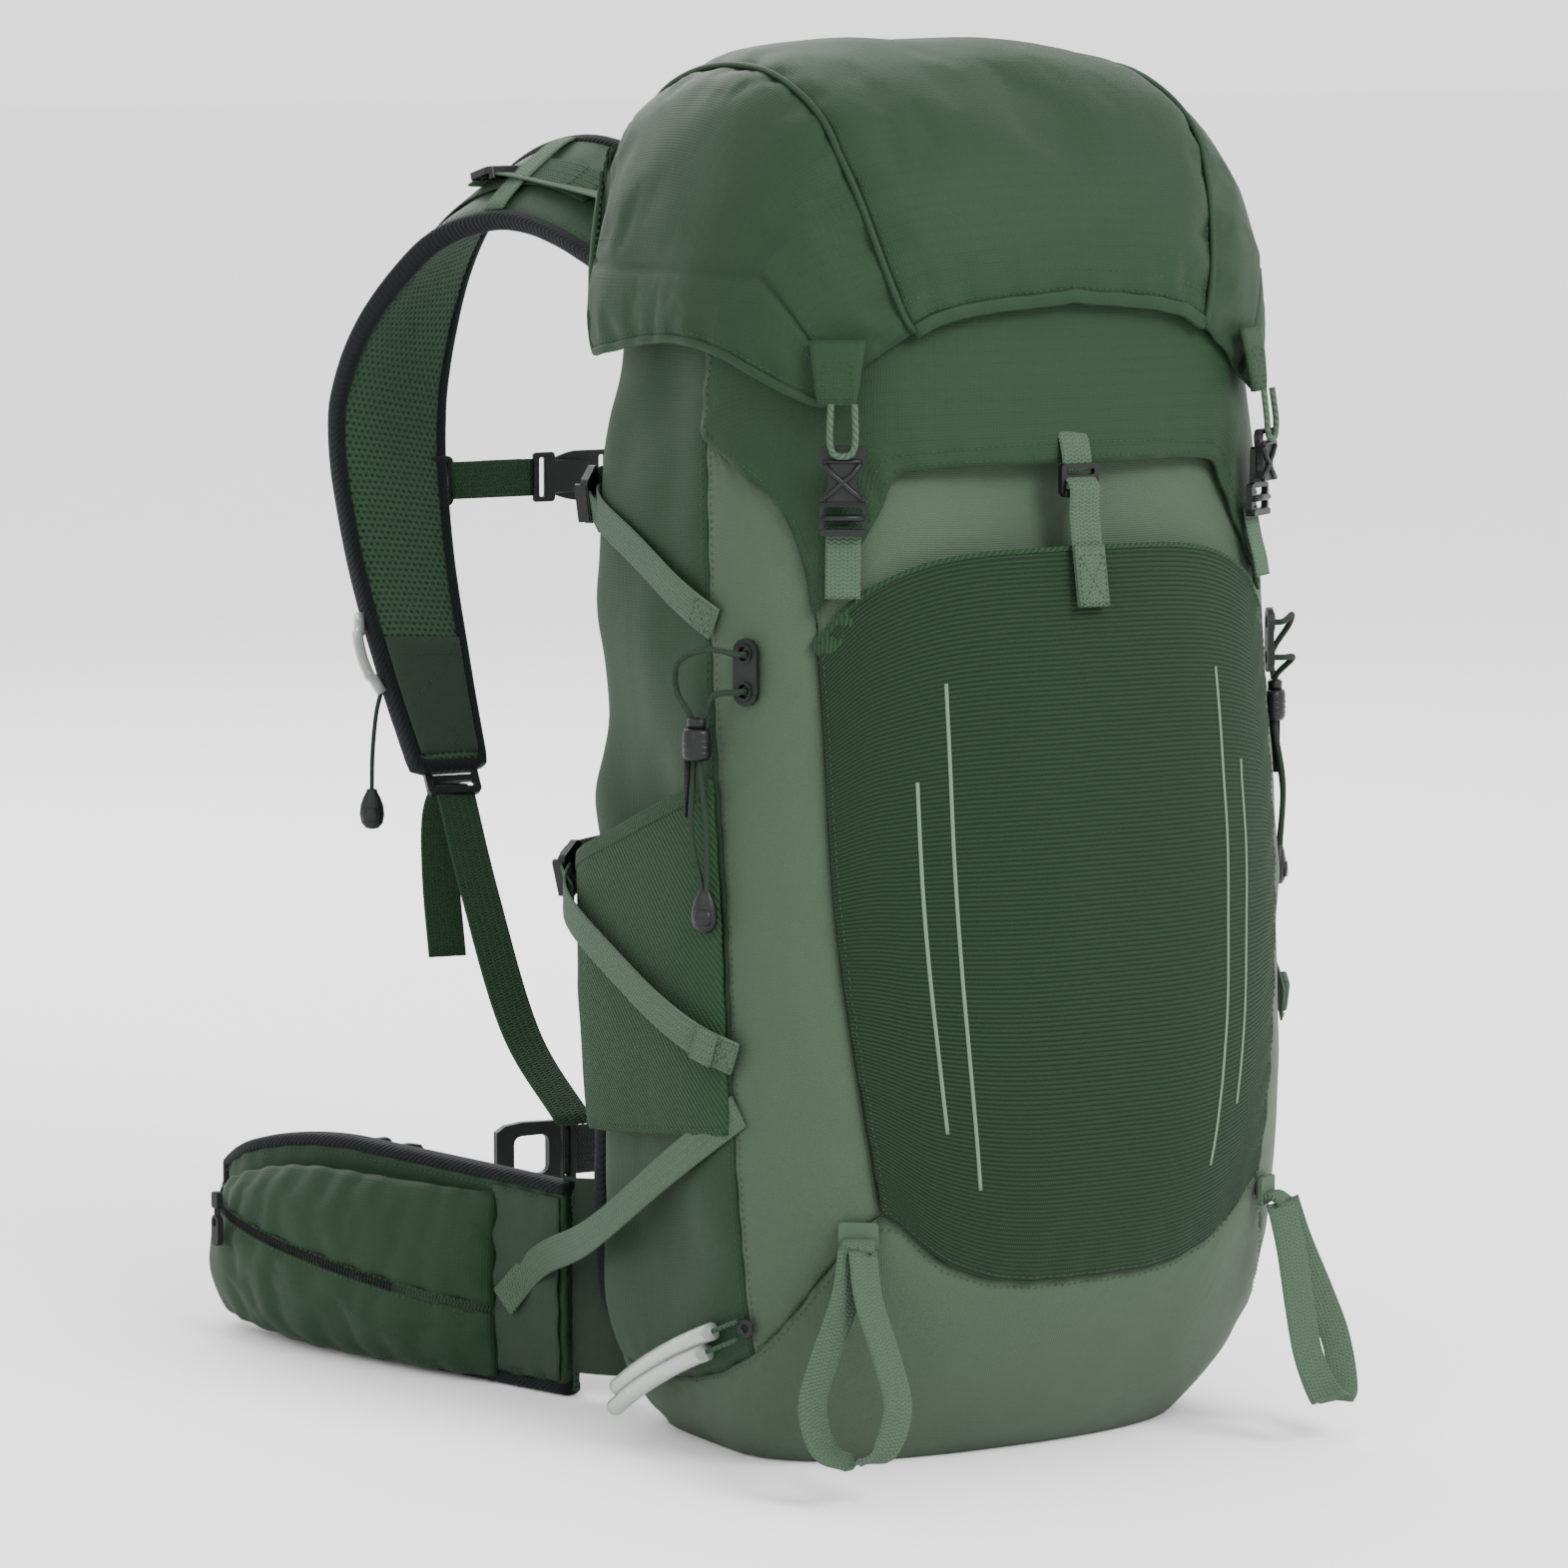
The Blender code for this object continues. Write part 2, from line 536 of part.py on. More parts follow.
def make_harness(green, sage, black):
    for side, sign in SIDES:
        path = strap_path(sign)
        widths = [STRAP_WIDTH * mix(0.86, 1.0, min(1.0, i / 5)) * mix(1.0, 0.62, max(0.0, (i - 16) / 8)) for i in range(25)]
        rows = []
        for i, point in enumerate(path):
            run = (path[min(i + 1, 24)] - path[max(i - 1, 0)]).normalized()
            across = (Vector((1, 0, 0)) - run * run.x).normalized()
            lean = radians(profile(STRAP_LEAN, i))
            across = across * cos(lean) + run.cross(across) * sin(lean) * sign
            rows.append([point + across * widths[i] * s for s in (-0.5, -0.25, 0, 0.25, 0.5)])
        shell(f"shoulder_strap_{side}", rows, black, STRAP_THICKNESS, offset=0.0)
        stops = ((0.109, 0.256, 0.266), (0.114, 0.222, 0.220), (0.120, 0.172, 0.162), (0.1215, 0.118, 0.128))
        path = smooth_line([(sign * x, y, z) for x, y, z in stops], 9)
        ribbon(f"lower_webbing_{side}", path, Vector((0, 0.75, -0.65)), 0.020, green)
    # Sternum strap, buckled between the shoulder straps.
    for side, sign in SIDES:
        path = [Vector((sign * x, 0.3380, 0.402)) for x in (0.0235, 0.036, 0.050, 0.064)]
        ribbon(f"sternum_webbing_{side}", path, Vector((0, 1, 0)), 0.018, green)
    place = Matrix.Translation((0, 0.3380, 0.402)) @ Matrix.Rotation(radians(90), 4, "Y")
    half = ((0.0120, 0.0215), (0.0120, 0.0020), (0.0100, -0.0060), (0.0090, -0.0085))
    outline = [*half, *[(-x, z) for x, z in reversed(half)]]
    slot = rounded(0.0190, 0.0030, 0.0010, z=0.0175)
    plate("sternum_socket", [outline, slot], 0.0022, black, place @ Matrix.Translation((0, 0.0016, 0)))
    half = ((0.0070, 0.0090), (0.0078, 0.0020), (0.0080, -0.0095), (0.0120, -0.0100), (0.0120, -0.0215))
    outline = [*half, *[(-x, z) for x, z in reversed(half)]]
    slot = rounded(0.0190, 0.0030, 0.0010, z=-0.0170)
    plate("sternum_plug", [outline, slot], 0.0022, black, place @ Matrix.Translation((0, -0.0012, 0)))


WING_LINE = ((0.116, 0.132), (0.125, 0.160), (0.137, 0.200), (0.151, 0.250), (0.164, 0.300), (0.171, 0.340), (0.168, 0.372))


def wing_frame(sign, along):
    """A point of the hip wing's middle surface in plan, and the way its outer face looks."""
    line = smooth_line([(sign * x, y, 0) for x, y in WING_LINE], 61)
    i = round(along * 60)
    run = (line[min(i + 1, 60)] - line[max(i - 1, 0)]).normalized()
    return line[i], Vector((run.y, -run.x, 0)) * sign


def make_hip_belt(green, sage, black):
    for side, sign in SIDES:
        rows = []
        for along in spread(0, 1, 13):
            point, outward = wing_frame(sign, along)
            low = 0.0006 + 0.016 * max(0.0, (along - 0.65) / 0.35) ** 2
            high = 0.103 - 0.028 * max(0.0, (along - 0.55) / 0.45) ** 1.6 - 0.008 * (1 - along)
            line = [Vector((point.x, point.y, z)) for z in spread(low, high, 6)]
            rows.append(line if sign < 0 else line[::-1])
        shell(f"hip_wing_{side}", rows, black, WING_THICKNESS, offset=0.0)
        rows = []
        for along in spread(0.22, 0.965, 13):
            point, outward = wing_frame(sign, along)
            part = (along - 0.22) / 0.745
            line = []
            for up in spread(0, 1, 9):
                z = mix(0.0035 + 0.012 * max(0, part - 0.5), 0.0890 - 0.026 * max(0.0, (part - 0.45) / 0.55) ** 1.6, up)
                belly = (sin(pi * part) ** 0.6) * (sin(pi * mix(0.10, 0.93, up)) ** 0.7)
                line.append(point + outward * (WING_THICKNESS / 2 + 0.0010 + 0.026 * belly) + Vector((0, 0, z)))
            rows.append(line if sign < 0 else line[::-1])
        shell(f"hip_pocket_{side}", rows, green, POCKET_FABRIC, offset=1.0)
        # The belt's webbing runs on from the wing's tip, round the front of the waist.
        tip, outward = wing_frame(sign, 1.0)
        stops = [(tip.x, tip.y + 0.004), (sign * 0.158, 0.405), (sign * 0.132, 0.432), (sign * 0.100, 0.448)]
        stops.append((sign * 0.066, 0.452))
        path = smooth_line([(x, y, 0.047) for x, y in stops], 13)
        facings = []
        for i in range(13):
            run = (path[min(i + 1, 12)] - path[max(i - 1, 0)]).normalized()
            facings.append(Vector((run.y, -run.x, 0)))
        ribbon(f"hip_webbing_{side}", path, facings, BELT_WEBBING, black)
    place = Matrix.Translation((0, 0.452, 0.047)) @ Matrix.Rotation(radians(90), 4, "Y")
    half = ((0.0160, 0.0635), (0.0165, 0.0250), (0.0130, 0.0180))
    outline = [*half, *[(-x, z) for x, z in reversed(half)]]
    slots = [rounded(0.0260, 0.0034, 0.0012, z=0.0590), rounded(0.0200, 0.0200, 0.0040, z=0.0380)]
    plate("hip_buckle_socket", [outline, *slots], 0.0040, black, place)
    half = ((0.0035, -0.0235), (0.0110, -0.0250), (0.0120, -0.0400), (0.0165, -0.0430), (0.0160, -0.0635))
    outline = [*half, *[(-x, z) for x, z in reversed(half)]]
    slots = [rounded(0.0260, 0.0034, 0.0012, z=-0.0590), rounded(0.0110, 0.0090, 0.0030, z=-0.0340)]
    plate("hip_buckle_plug", [outline, *slots], 0.0040, black, place)


def make_zip_pulls(black):
    for side, sign in SIDES:
        centre = Vector((sign * 0.2005, 0.325, 0.058))
        turned = Matrix.Rotation(sign * pi / 2, 4, "Z")
        loops = [rounded(0.0070, 0.0260, 0.0034), rounded(0.0030, 0.0100, 0.0014, z=0.0050)]
        plate(f"zip_pull_{side}", loops, 0.0026, black, Matrix.Translation(centre) @ turned)


def main():
    clear_scene()
    green = material("pack_green_nylon", GREEN, 0.7)
    sage = material("sage_coated_nylon", SAGE, 0.65)
    stretch = material("green_stretch_knit", GREEN, 0.9)
    webbing = material("sage_webbing", SAGE, 0.8)
    foam = material("mesh_faced_foam", BLACK, 0.95)
    black = material("black_acetal", BLACK, 0.35)
    clear = material("clear_tube", CLEAR, 0.25)
    alloy = material("frame_alloy", ALLOY, 0.35, 1.0)
    white = material("frame_plastic", WHITE_PLASTIC, 0.5)
    make_base(sage)
    make_walls(green, sage)
    make_frame(foam, white, alloy)
    make_pockets(stretch)
    make_straps(webbing)
    make_axe_loops(webbing)
    make_small_gear(webbing, black, clear)
    make_lid(green)
    make_lid_closure(webbing, black)
    make_front_buckle(webbing, black)
    make_harness(green, webbing, foam)
    make_hip_belt(green, webbing, foam)
    make_zip_pulls(black)


main()
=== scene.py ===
"""The hiking backpack's looks: sewn panels, webbing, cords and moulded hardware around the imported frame."""

from math import cos, exp, pi, radians, sin

import bmesh
import bpy
from mathutils import Matrix, Vector, noise
from mathutils.geometry import tessellate_polygon


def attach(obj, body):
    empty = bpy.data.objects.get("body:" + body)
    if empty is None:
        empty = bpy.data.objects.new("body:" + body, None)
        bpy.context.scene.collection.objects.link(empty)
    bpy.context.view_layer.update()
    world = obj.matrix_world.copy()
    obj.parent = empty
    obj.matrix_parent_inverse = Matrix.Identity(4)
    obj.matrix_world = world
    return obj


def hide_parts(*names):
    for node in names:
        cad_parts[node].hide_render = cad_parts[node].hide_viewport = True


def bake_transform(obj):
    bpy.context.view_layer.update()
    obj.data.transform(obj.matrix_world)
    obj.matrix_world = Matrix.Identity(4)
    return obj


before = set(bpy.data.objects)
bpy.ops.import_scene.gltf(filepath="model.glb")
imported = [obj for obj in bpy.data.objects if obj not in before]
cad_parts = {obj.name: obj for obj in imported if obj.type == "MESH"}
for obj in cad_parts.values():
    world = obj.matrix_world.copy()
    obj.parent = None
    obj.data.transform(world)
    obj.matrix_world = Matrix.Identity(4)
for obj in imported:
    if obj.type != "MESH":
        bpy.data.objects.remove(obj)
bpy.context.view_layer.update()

# Driving dimensions
HALF_WIDTH = 0.150  # widest half section, at a SIZE of 1
FRONT_REACH = 0.1175
BACK_REACH = 0.095
FRONT_POWER = 2.5
BACK_POWER = 5.0
PANEL_TOP = 0.505
BACK_CORNER = 131
LID_HALF_WIDTH = 0.1385
LID_FRONT, LID_BACK = 0.1030, 0.1045
LID_FLARE = 0.0050
BELT_WEBBING = 0.025
STRAP_WIDTH, STRAP_THICKNESS = 0.064, 0.009
WING_THICKNESS = 0.010
SIDES = (("left", -1), ("right", 1))

# Sizes of the bag's section by height: its width, its front half and its back half
SIZE = (
    (0.0, 0.74), (0.018, 0.84), (0.04, 0.91), (0.06, 0.95), (0.105, 0.968), (0.15, 0.978), (0.24, 0.972),
    (0.325, 0.955), (0.41, 0.922), (0.455, 0.886), (0.505, 0.852), (0.56, 0.85),
)
FRONT_SIZE = (
    (0.0, 0.50), (0.018, 0.66), (0.04, 0.79), (0.07, 0.93), (0.105, 1.02), (0.15, 1.07), (0.24, 1.05),
    (0.325, 0.975), (0.41, 0.87), (0.455, 0.826), (0.505, 0.785), (0.56, 0.76),
)
BACK_SIZE = ((0.0, 0.90), (0.02, 0.96), (0.05, 0.99), (0.09, 1.0), (0.62, 1.0))
# Seams, in degrees round the bag from the middle of its front, by height
GUSSET_REAR = (
    (0.03, 67.5), (0.10, 68.5), (0.24, 71.5), (0.36, 77.0), (0.42, 80.2), (0.455, 82.4), (0.60, 82.4)
)
GUSSET_FRONT = (
    (0.03, 42.1), (0.10, 42.1), (0.24, 50.4), (0.38, 56.5), (0.42, 63.6), (0.448, 79.0), (0.60, 81.6)
)
# Heights by degrees from the middle of the front: base seam, pocket's foot and rim, upper panel's lower edge
BASE_SEAM = (
    (0, 0.085), (20, 0.087), (33, 0.098), (42, 0.118), (50, 0.100), (60, 0.070), (68, 0.052), (80, 0.038),
    (100, 0.0302), (180, 0.0300),
)
POCKET_FOOT = ((0, 0.0875), (20, 0.0895), (33, 0.1005), (42, 0.121), (50, 0.136))
POCKET_RIM = ((0, 0.400), (30, 0.397), (46, 0.384), (56, 0.362))
UPPER_EDGE = ((0, 0.436), (30, 0.4345), (36, 0.429), (45, 0.407), (57, 0.374))
LID_EDGE = (
    (0, 0.507), (30, 0.499), (44, 0.480), (52, 0.4645), (58, 0.4660), (75, 0.484), (90, 0.488), (116, 0.479)
)



def mix(a, b, share):
    return a + (b - a) * share


def spread(first, last, count):
    return [mix(first, last, i / (count - 1)) for i in range(count)]


def profile(stations, at):
    """A smooth value through (position, value) stations, held flat beyond both ends."""
    if at <= stations[0][0]:
        return stations[0][1]
    if at >= stations[-1][0]:
        return stations[-1][1]
    i = next(i for i in range(len(stations) - 1) if at <= stations[i + 1][0])

    def slope(j):
        before, after = stations[max(j - 1, 0)], stations[min(j + 1, len(stations) - 1)]
        return (after[1] - before[1]) / (after[0] - before[0])

    (start, first), (end, last) = stations[i], stations[i + 1]
    width = end - start
    t = (at - start) / width
    return (
        first * (2 * t**3 - 3 * t**2 + 1)
        + slope(i) * width * (t**3 - 2 * t**2 + t)
        + last * (3 * t**2 - 2 * t**3)
        + slope(i + 1) * width * (t**3 - t**2)
    )


def oval(turn, half_width, front, back):
    """A point of a plan section, turn degrees round from the middle of the front towards +X."""
    across, ahead = sin(radians(turn)), cos(radians(turn))
    reach, power = (front, FRONT_POWER) if ahead >= 0 else (back, BACK_POWER)
    size = ((abs(across) / half_width) ** power + (abs(ahead) / reach) ** power) ** (-1 / power)
    return Vector((across * size, -ahead * size, 0))


def bag_point(turn, height, out=0.0):
    """A point of the bag's outer surface, moved outwards by out."""
    front = FRONT_REACH * profile(FRONT_SIZE, height) + out
    back = BACK_REACH * profile(BACK_SIZE, height) + out
    point = oval(turn, HALF_WIDTH * profile(SIZE, height) + out, front, back)
    point.z = height
    return point


def smooth_line(points, count):
    """Points spaced along a smooth curve through the given ones."""
    points = [Vector(p) for p in points]
    ends = [points[0] * 2 - points[1], *points, points[-1] * 2 - points[-2]]
    made = []
    for at in spread(0, len(points) - 1, count):
        i = min(int(at), len(points) - 2)
        t = at - i
        a, b, c, d = ends[i : i + 4]
        made.append(
            0.5 * (
                2 * b + (c - a) * t + (2 * a - 5 * b + 4 * c - d) * t**2 + (3 * b - a - 3 * c + d) * t**3
            )
        )
    return made


def rounded(width, height, radius, x=0.0, z=0.0, steps=4):
    """A rounded rectangle about (x, z)."""
    loop = []
    for corner, (sx, sz) in enumerate(((1, 1), (-1, 1), (-1, -1), (1, -1))):
        for a in spread(corner * pi / 2, (corner + 1) * pi / 2, steps):
            loop.append(
                (
                    x + sx * (width / 2 - radius) + radius * cos(a),
                    z + sz * (height / 2 - radius) + radius * sin(a)
                )
            )
    return loop


def stand(turn, height, out, lean=0.0):
    """A frame on the bag's wall: local -Y looks straight out, local Z is up. lean tips the top backwards."""
    ahead = bag_point(turn + 0.5, height) - bag_point(turn - 0.5, height)
    outward = Vector((ahead.y, -ahead.x, 0)).normalized()
    base = bag_point(turn, height) + outward * out
    turned = Matrix(((-outward.y, -outward.x, 0), (outward.x, -outward.y, 0), (0, 0, 1))).to_4x4()
    return Matrix.Translation(base) @ turned @ Matrix.Rotation(radians(lean), 4, "X")


def lid_rim_turn(along):
    return mix(51.0, 130.0, along)


def wing_frame(sign, along):
    """A point of the hip wing's middle surface in plan, and the way its outer face looks."""
    line = smooth_line([(sign * x, y, 0) for x, y in WING_LINE], 61)
    i = round(along * 60)
    run = (line[min(i + 1, 60)] - line[max(i - 1, 0)]).normalized()
    return line[i], Vector((run.y, -run.x, 0)) * sign


STRAP_LEAN = ((0, 0), (2, 6), (5, 28), (8, 36), (12, 30), (15, 12), (18, 2), (24, 0))


def strap_path(sign):
    stops = ((0.046, 0.1225, 0.468), (0.050, 0.150, 0.508), (0.056, 0.190, 0.535), (0.064, 0.245, 0.547))
    stops += ((0.073, 0.300, 0.532), (0.084, 0.336, 0.490), (0.095, 0.347, 0.435), (0.103, 0.322, 0.375))
    stops += ((0.108, 0.288, 0.320), (0.109, 0.262, 0.276))
    return smooth_line([(sign * x, y, z) for x, y, z in stops], 25)


WING_LINE = (
    (0.116, 0.132), (0.125, 0.160), (0.137, 0.200), (0.151, 0.250), (0.164, 0.300), (0.171, 0.340),
    (0.168, 0.372)
)
LID_LINE = (
    (-0.1015, 0.507, 0), (-0.0955, 0.532, 0), (-0.082, 0.562, 0), (-0.059, 0.588, 0), (-0.022, 0.605, 0),
    (0.018, 0.612, 0), (0.060, 0.609, 0), (0.094, 0.595, 0), (0.1055, 0.571, 0),
)


def smooth_at(points, share):
    """A point at a share of the way along a smooth curve through the given points."""
    ends = [Vector(p) for p in (points[0], *points, points[-1])]
    ends[0] = ends[1] * 2 - ends[2]
    ends[-1] = ends[-2] * 2 - ends[-3]
    at = min(max(share, 0.0), 1.0) * (len(points) - 1)
    i = min(int(at), len(points) - 2)
    t = at - i
    a, b, c, d = ends[i : i + 4]
    return 0.5 * (2 * b + (c - a) * t + (2 * a - 5 * b + 4 * c - d) * t**2 + (3 * b - a - 3 * c + d) * t**3)


def lid_top_point(across, along):
    at = smooth_at(LID_LINE, along)
    x = across * mix(0.074, 0.093, min(1.0, along / 0.3) ** 0.7)
    power = FRONT_POWER if at.x < 0 else BACK_POWER
    narrow = (1 - (abs(x) / LID_HALF_WIDTH) ** power) ** (1 / power)
    low = (1 - (abs(x) / 0.145) ** 3.2) ** (1 / 3.2)
    edge = profile(LID_EDGE, 36 * abs(across)) - 0.507
    height = 0.507 + (at.y - 0.507) * low + edge * max(0.0, 1 - along / 0.3)
    return Vector((x, at.x * narrow, height))


def lid_side_point(sign, down, along):
    seam = lid_top_point(sign, along)
    inner = lid_top_point(sign * 0.96, along)
    turn = lid_rim_turn(along)
    wide = oval(turn, LID_HALF_WIDTH, LID_FRONT, LID_BACK)
    edge = profile(LID_EDGE, turn) if turn < 116 else mix(0.479, 0.556, min(1.0, (turn - 116) / 12) ** 1.5)
    wide = Vector((wide.x * sign, wide.y, max(edge + 0.006, mix(edge + 0.004, 0.516, min(1.0, along * 5)))))
    if down > 0.7:
        hem = oval(turn, LID_HALF_WIDTH + LID_FLARE, LID_FRONT + LID_FLARE, LID_BACK)
        return wide.lerp(Vector((hem.x * sign, hem.y, edge)), (down - 0.7) / 0.3)
    t = down / 0.7
    reach = (wide - seam).length
    leave = (seam - inner).normalized() * reach * 0.75
    arrive = Vector((0, 0, -1)) * reach * 0.95 * min(1.0, along * 6 + 0.25)
    return (
        seam * (2 * t**3 - 3 * t**2 + 1) + leave * (t**3 - 2 * t**2 + t)
        + wide * (3 * t**2 - 2 * t**3) + arrive * (t**3 - t**2)
    )


# ---------------------------------------------------------------- materials


class Graph:
    """A material's nodes, built from its shader's sockets backwards."""

    def __init__(self, name, rough, **sockets):
        self.mat = bpy.data.materials.new(name)
        self.mat.use_nodes = True
        self.tree = self.mat.node_tree
        self.shader = self.tree.nodes["Principled BSDF"]
        self.shader.inputs["Roughness"].default_value = rough
        for key, value in sockets.items():
            self.shader.inputs[key.replace("_", " ")].default_value = value
        coords = self.tree.nodes.new("ShaderNodeTexCoord")
        self.place = coords.outputs["Object"]
        split = self.tree.nodes.new("ShaderNodeSeparateXYZ")
        self.tree.links.new(coords.outputs["UV"], split.inputs[0])
        self.u, self.v = split.outputs[0], split.outputs[1]

    def math(self, kind, a, b=None, clamp=False):
        node = self.tree.nodes.new("ShaderNodeMath")
        node.operation = kind
        node.use_clamp = clamp
        for socket, value in zip(node.inputs, (a, b)):
            if value is None:
                continue
            if isinstance(value, (int, float)):
                socket.default_value = value
            else:
                self.tree.links.new(value, socket)
        return node.outputs[0]

    def wave(self, coord, pitch):
        """A sine from 0 to 1 across a coordinate in metres."""
        turned = self.math("SINE", self.math("MULTIPLY", coord, 2 * pi / pitch))
        return self.math("MULTIPLY", self.math("ADD", turned, 1.0), 0.5)

    def line(self, coord, pitch, width):
        """1 on thin lines a pitch apart, 0 between them."""
        return self.math("GREATER_THAN", self.wave(coord, pitch), 1 - (pi * width / pitch) ** 2 / 4)

    def noise(self, scale, detail=3.0, where=None):
        node = self.tree.nodes.new("ShaderNodeTexNoise")
        node.inputs["Scale"].default_value = scale
        node.inputs["Detail"].default_value = detail
        self.tree.links.new(where or self.place, node.inputs["Vector"])
        return node.outputs["Fac"]

    def blend(self, share, a, b):
        node = self.tree.nodes.new("ShaderNodeMix")
        node.data_type = "RGBA"
        for socket, value in ((node.inputs[0], share), (node.inputs[6], a), (node.inputs[7], b)):
            if isinstance(value, (tuple, float)):
                socket.default_value = value
            else:
                self.tree.links.new(value, socket)
        return node.outputs[2]

    def finish(self, colour, height, depth, rough=None):
        bump = self.tree.nodes.new("ShaderNodeBump")
        bump.inputs["Distance"].default_value = depth
        self.tree.links.new(height, bump.inputs["Height"])
        self.tree.links.new(bump.outputs[0], self.shader.inputs["Normal"])
        self.tree.links.new(colour, self.shader.inputs["Base Color"])
        if rough is not None:
            self.tree.links.new(rough, self.shader.inputs["Roughness"])
        return self.mat


def shade(colour, by):
    return (*[c * by for c in colour[:3]], 1)


def cloth(name, colour, kind, rough=0.7, sheen=0.03, depth=0.0004, vary=0.16, groove_shade=0.62):
    """A woven, knitted or coated fabric, its thread pattern laid out in metres, with painted shade in its low
    parts.
    """
    g = Graph(name, rough, Sheen_Weight=sheen, Sheen_Roughness=0.45, Specular_IOR_Level=0.14)
    soft = g.noise(7.0, 4.0)
    fine = g.noise(900.0, 2.0)
    # Each kind gives the weave's relief for the bump, and a mask of its low parts (grooves, rib valleys, mesh
    # holes) that gets painted shade.
    if kind == "ripstop":
        weave = g.math("MULTIPLY", g.wave(g.u, 0.0013), g.wave(g.v, 0.0013))
        grid = g.math("MAXIMUM", g.line(g.u, 0.0052, 0.0007), g.line(g.v, 0.0052, 0.0007))
        height = g.math("ADD", g.math("MULTIPLY", weave, 0.35), g.math("MULTIPLY", grid, 0.8))
        groove_shade_mask = g.math("MULTIPLY", g.math("SUBTRACT", 1.0, weave), 0.35)
    elif kind == "rib":
        rib = g.wave(g.v, 0.0021)
        knit = g.wave(g.math("ADD", g.u, g.math("MULTIPLY", g.line(g.v, 0.0042, 0.002), 0.0006)), 0.0012)
        height = g.math("ADD", rib, g.math("MULTIPLY", knit, 0.18))
        groove_shade_mask = g.math("POWER", g.math("SUBTRACT", 1.0, rib), 2.0)
    elif kind == "twill":
        slant = g.math("ADD", g.u, g.math("MULTIPLY", g.v, 0.75))
        rib = g.wave(slant, 0.0023)
        height = g.math("ADD", rib, g.math("MULTIPLY", g.wave(g.v, 0.0011), 0.25))
        groove_shade_mask = g.math("MULTIPLY", g.math("SUBTRACT", 1.0, rib), 0.8)
    elif kind == "webbing":
        fold = g.math("ABSOLUTE", g.math("SUBTRACT", g.math("FRACT", g.math("MULTIPLY", g.u, 290.0)), 0.5))
        rib = g.wave(g.math("ADD", g.v, g.math("MULTIPLY", fold, 0.0022)), 0.0017)
        height = g.math("ADD", rib, g.math("MULTIPLY", g.wave(g.u, 0.00172), 0.5))
        groove_shade_mask = g.math("MULTIPLY", g.math("SUBTRACT", 1.0, height), 0.55)
    elif kind == "mesh":
        row = g.math("GREATER_THAN", g.wave(g.v, 0.0064), 0.5)
        across = g.math("ADD", g.u, g.math("MULTIPLY", row, 0.0016))
        hole = g.math("MULTIPLY", g.wave(across, 0.0032), g.wave(g.v, 0.0032))
        groove_shade_mask = g.math("MULTIPLY", g.math("GREATER_THAN", hole, 0.42), 0.9)
        height = g.math("SUBTRACT", 1.0, hole)
    else:
        weave = g.math("MULTIPLY", g.wave(g.u, 0.0010), g.wave(g.v, 0.0010))
        height = g.math("ADD", g.math("MULTIPLY", weave, 0.5), g.math("MULTIPLY", g.noise(60.0), 1.4))
        groove_shade_mask = g.math("MULTIPLY", g.math("SUBTRACT", 1.0, weave), 0.18)
    height = g.math("ADD", height, g.math("MULTIPLY", fine, 0.3))
    wide = g.blend(soft, shade(colour, 1 - vary), shade(colour, 1 + vary))
    thread = g.blend(g.math("MULTIPLY", fine, 0.35), wide, shade(colour, 1.35))
    # Painted shade: the mask darkens the weave's low parts towards the groove colour, where shade would fall
    # between the threads.
    tone = g.blend(g.math("MINIMUM", groove_shade_mask, 1.0), thread, shade(colour, groove_shade))
    worn = g.math("ADD", rough - 0.07, g.math("MULTIPLY", soft, 0.14), clamp=True)
    return g.finish(tone, height, depth, worn)


def moulded(name, colour, rough, depth=0.00012, **sockets):
    g = Graph(name, rough, **sockets)
    grain, broad = g.noise(1400.0, 3.0), g.noise(28.0, 3.0)
    scuffs = g.math("GREATER_THAN", g.noise(190.0, 6.0), 0.66)
    tone = g.blend(
        g.math("MULTIPLY", scuffs, 0.35), g.blend(broad, shade(colour, 0.8), shade(colour, 1.3)),
        shade(colour, 2.4)
    )
    return g.finish(
        tone, grain, depth, g.math("ADD", rough - 0.08, g.math("MULTIPLY", broad, 0.18), clamp=True)
    )


DARK_GREEN = (0.0092, 0.0265, 0.0108)
LIGHT_SAGE = (0.0340, 0.0540, 0.0330)
WEB_SAGE = (0.0440, 0.0740, 0.0465)
NEAR_BLACK = (0.0050, 0.0055, 0.0055)

RIPSTOP = cloth("ripstop_green", DARK_GREEN, "ripstop", 0.62, depth=0.00035)
SAGE = cloth("coated_sage", LIGHT_SAGE, "plain", 0.60, depth=0.0003, vary=0.10, groove_shade=0.85)
RIB = cloth("ribbed_knit", DARK_GREEN, "rib", 0.85, sheen=0.03, depth=0.0007, groove_shade=0.42)
TWILL = cloth(
    "stretch_twill", shade(DARK_GREEN, 1.35)[:3], "twill", 0.82, sheen=0.03, depth=0.0005, groove_shade=0.55
)
WEBBING_SAGE = cloth("webbing_sage", WEB_SAGE, "webbing", 0.75, depth=0.0005, groove_shade=0.6)
WEBBING_GREEN = cloth(
    "webbing_green", shade(DARK_GREEN, 1.2)[:3], "webbing", 0.75, depth=0.0005, groove_shade=0.55
)
WEBBING_BLACK = cloth("webbing_black", (0.012, 0.013, 0.013), "webbing", 0.75, depth=0.0005)
BINDING = cloth("black_binding", (0.0035, 0.0055, 0.006), "twill", 0.8, sheen=0.03, depth=0.0003)
SPACER = cloth("spacer_mesh", (0.024, 0.054, 0.029), "mesh", 0.9, sheen=0.04, depth=0.0012, groove_shade=0.40)
BLACK_MESH = cloth("black_mesh", (0.010, 0.015, 0.012), "mesh", 0.92, sheen=0.04, depth=0.0013, groove_shade=0.25)
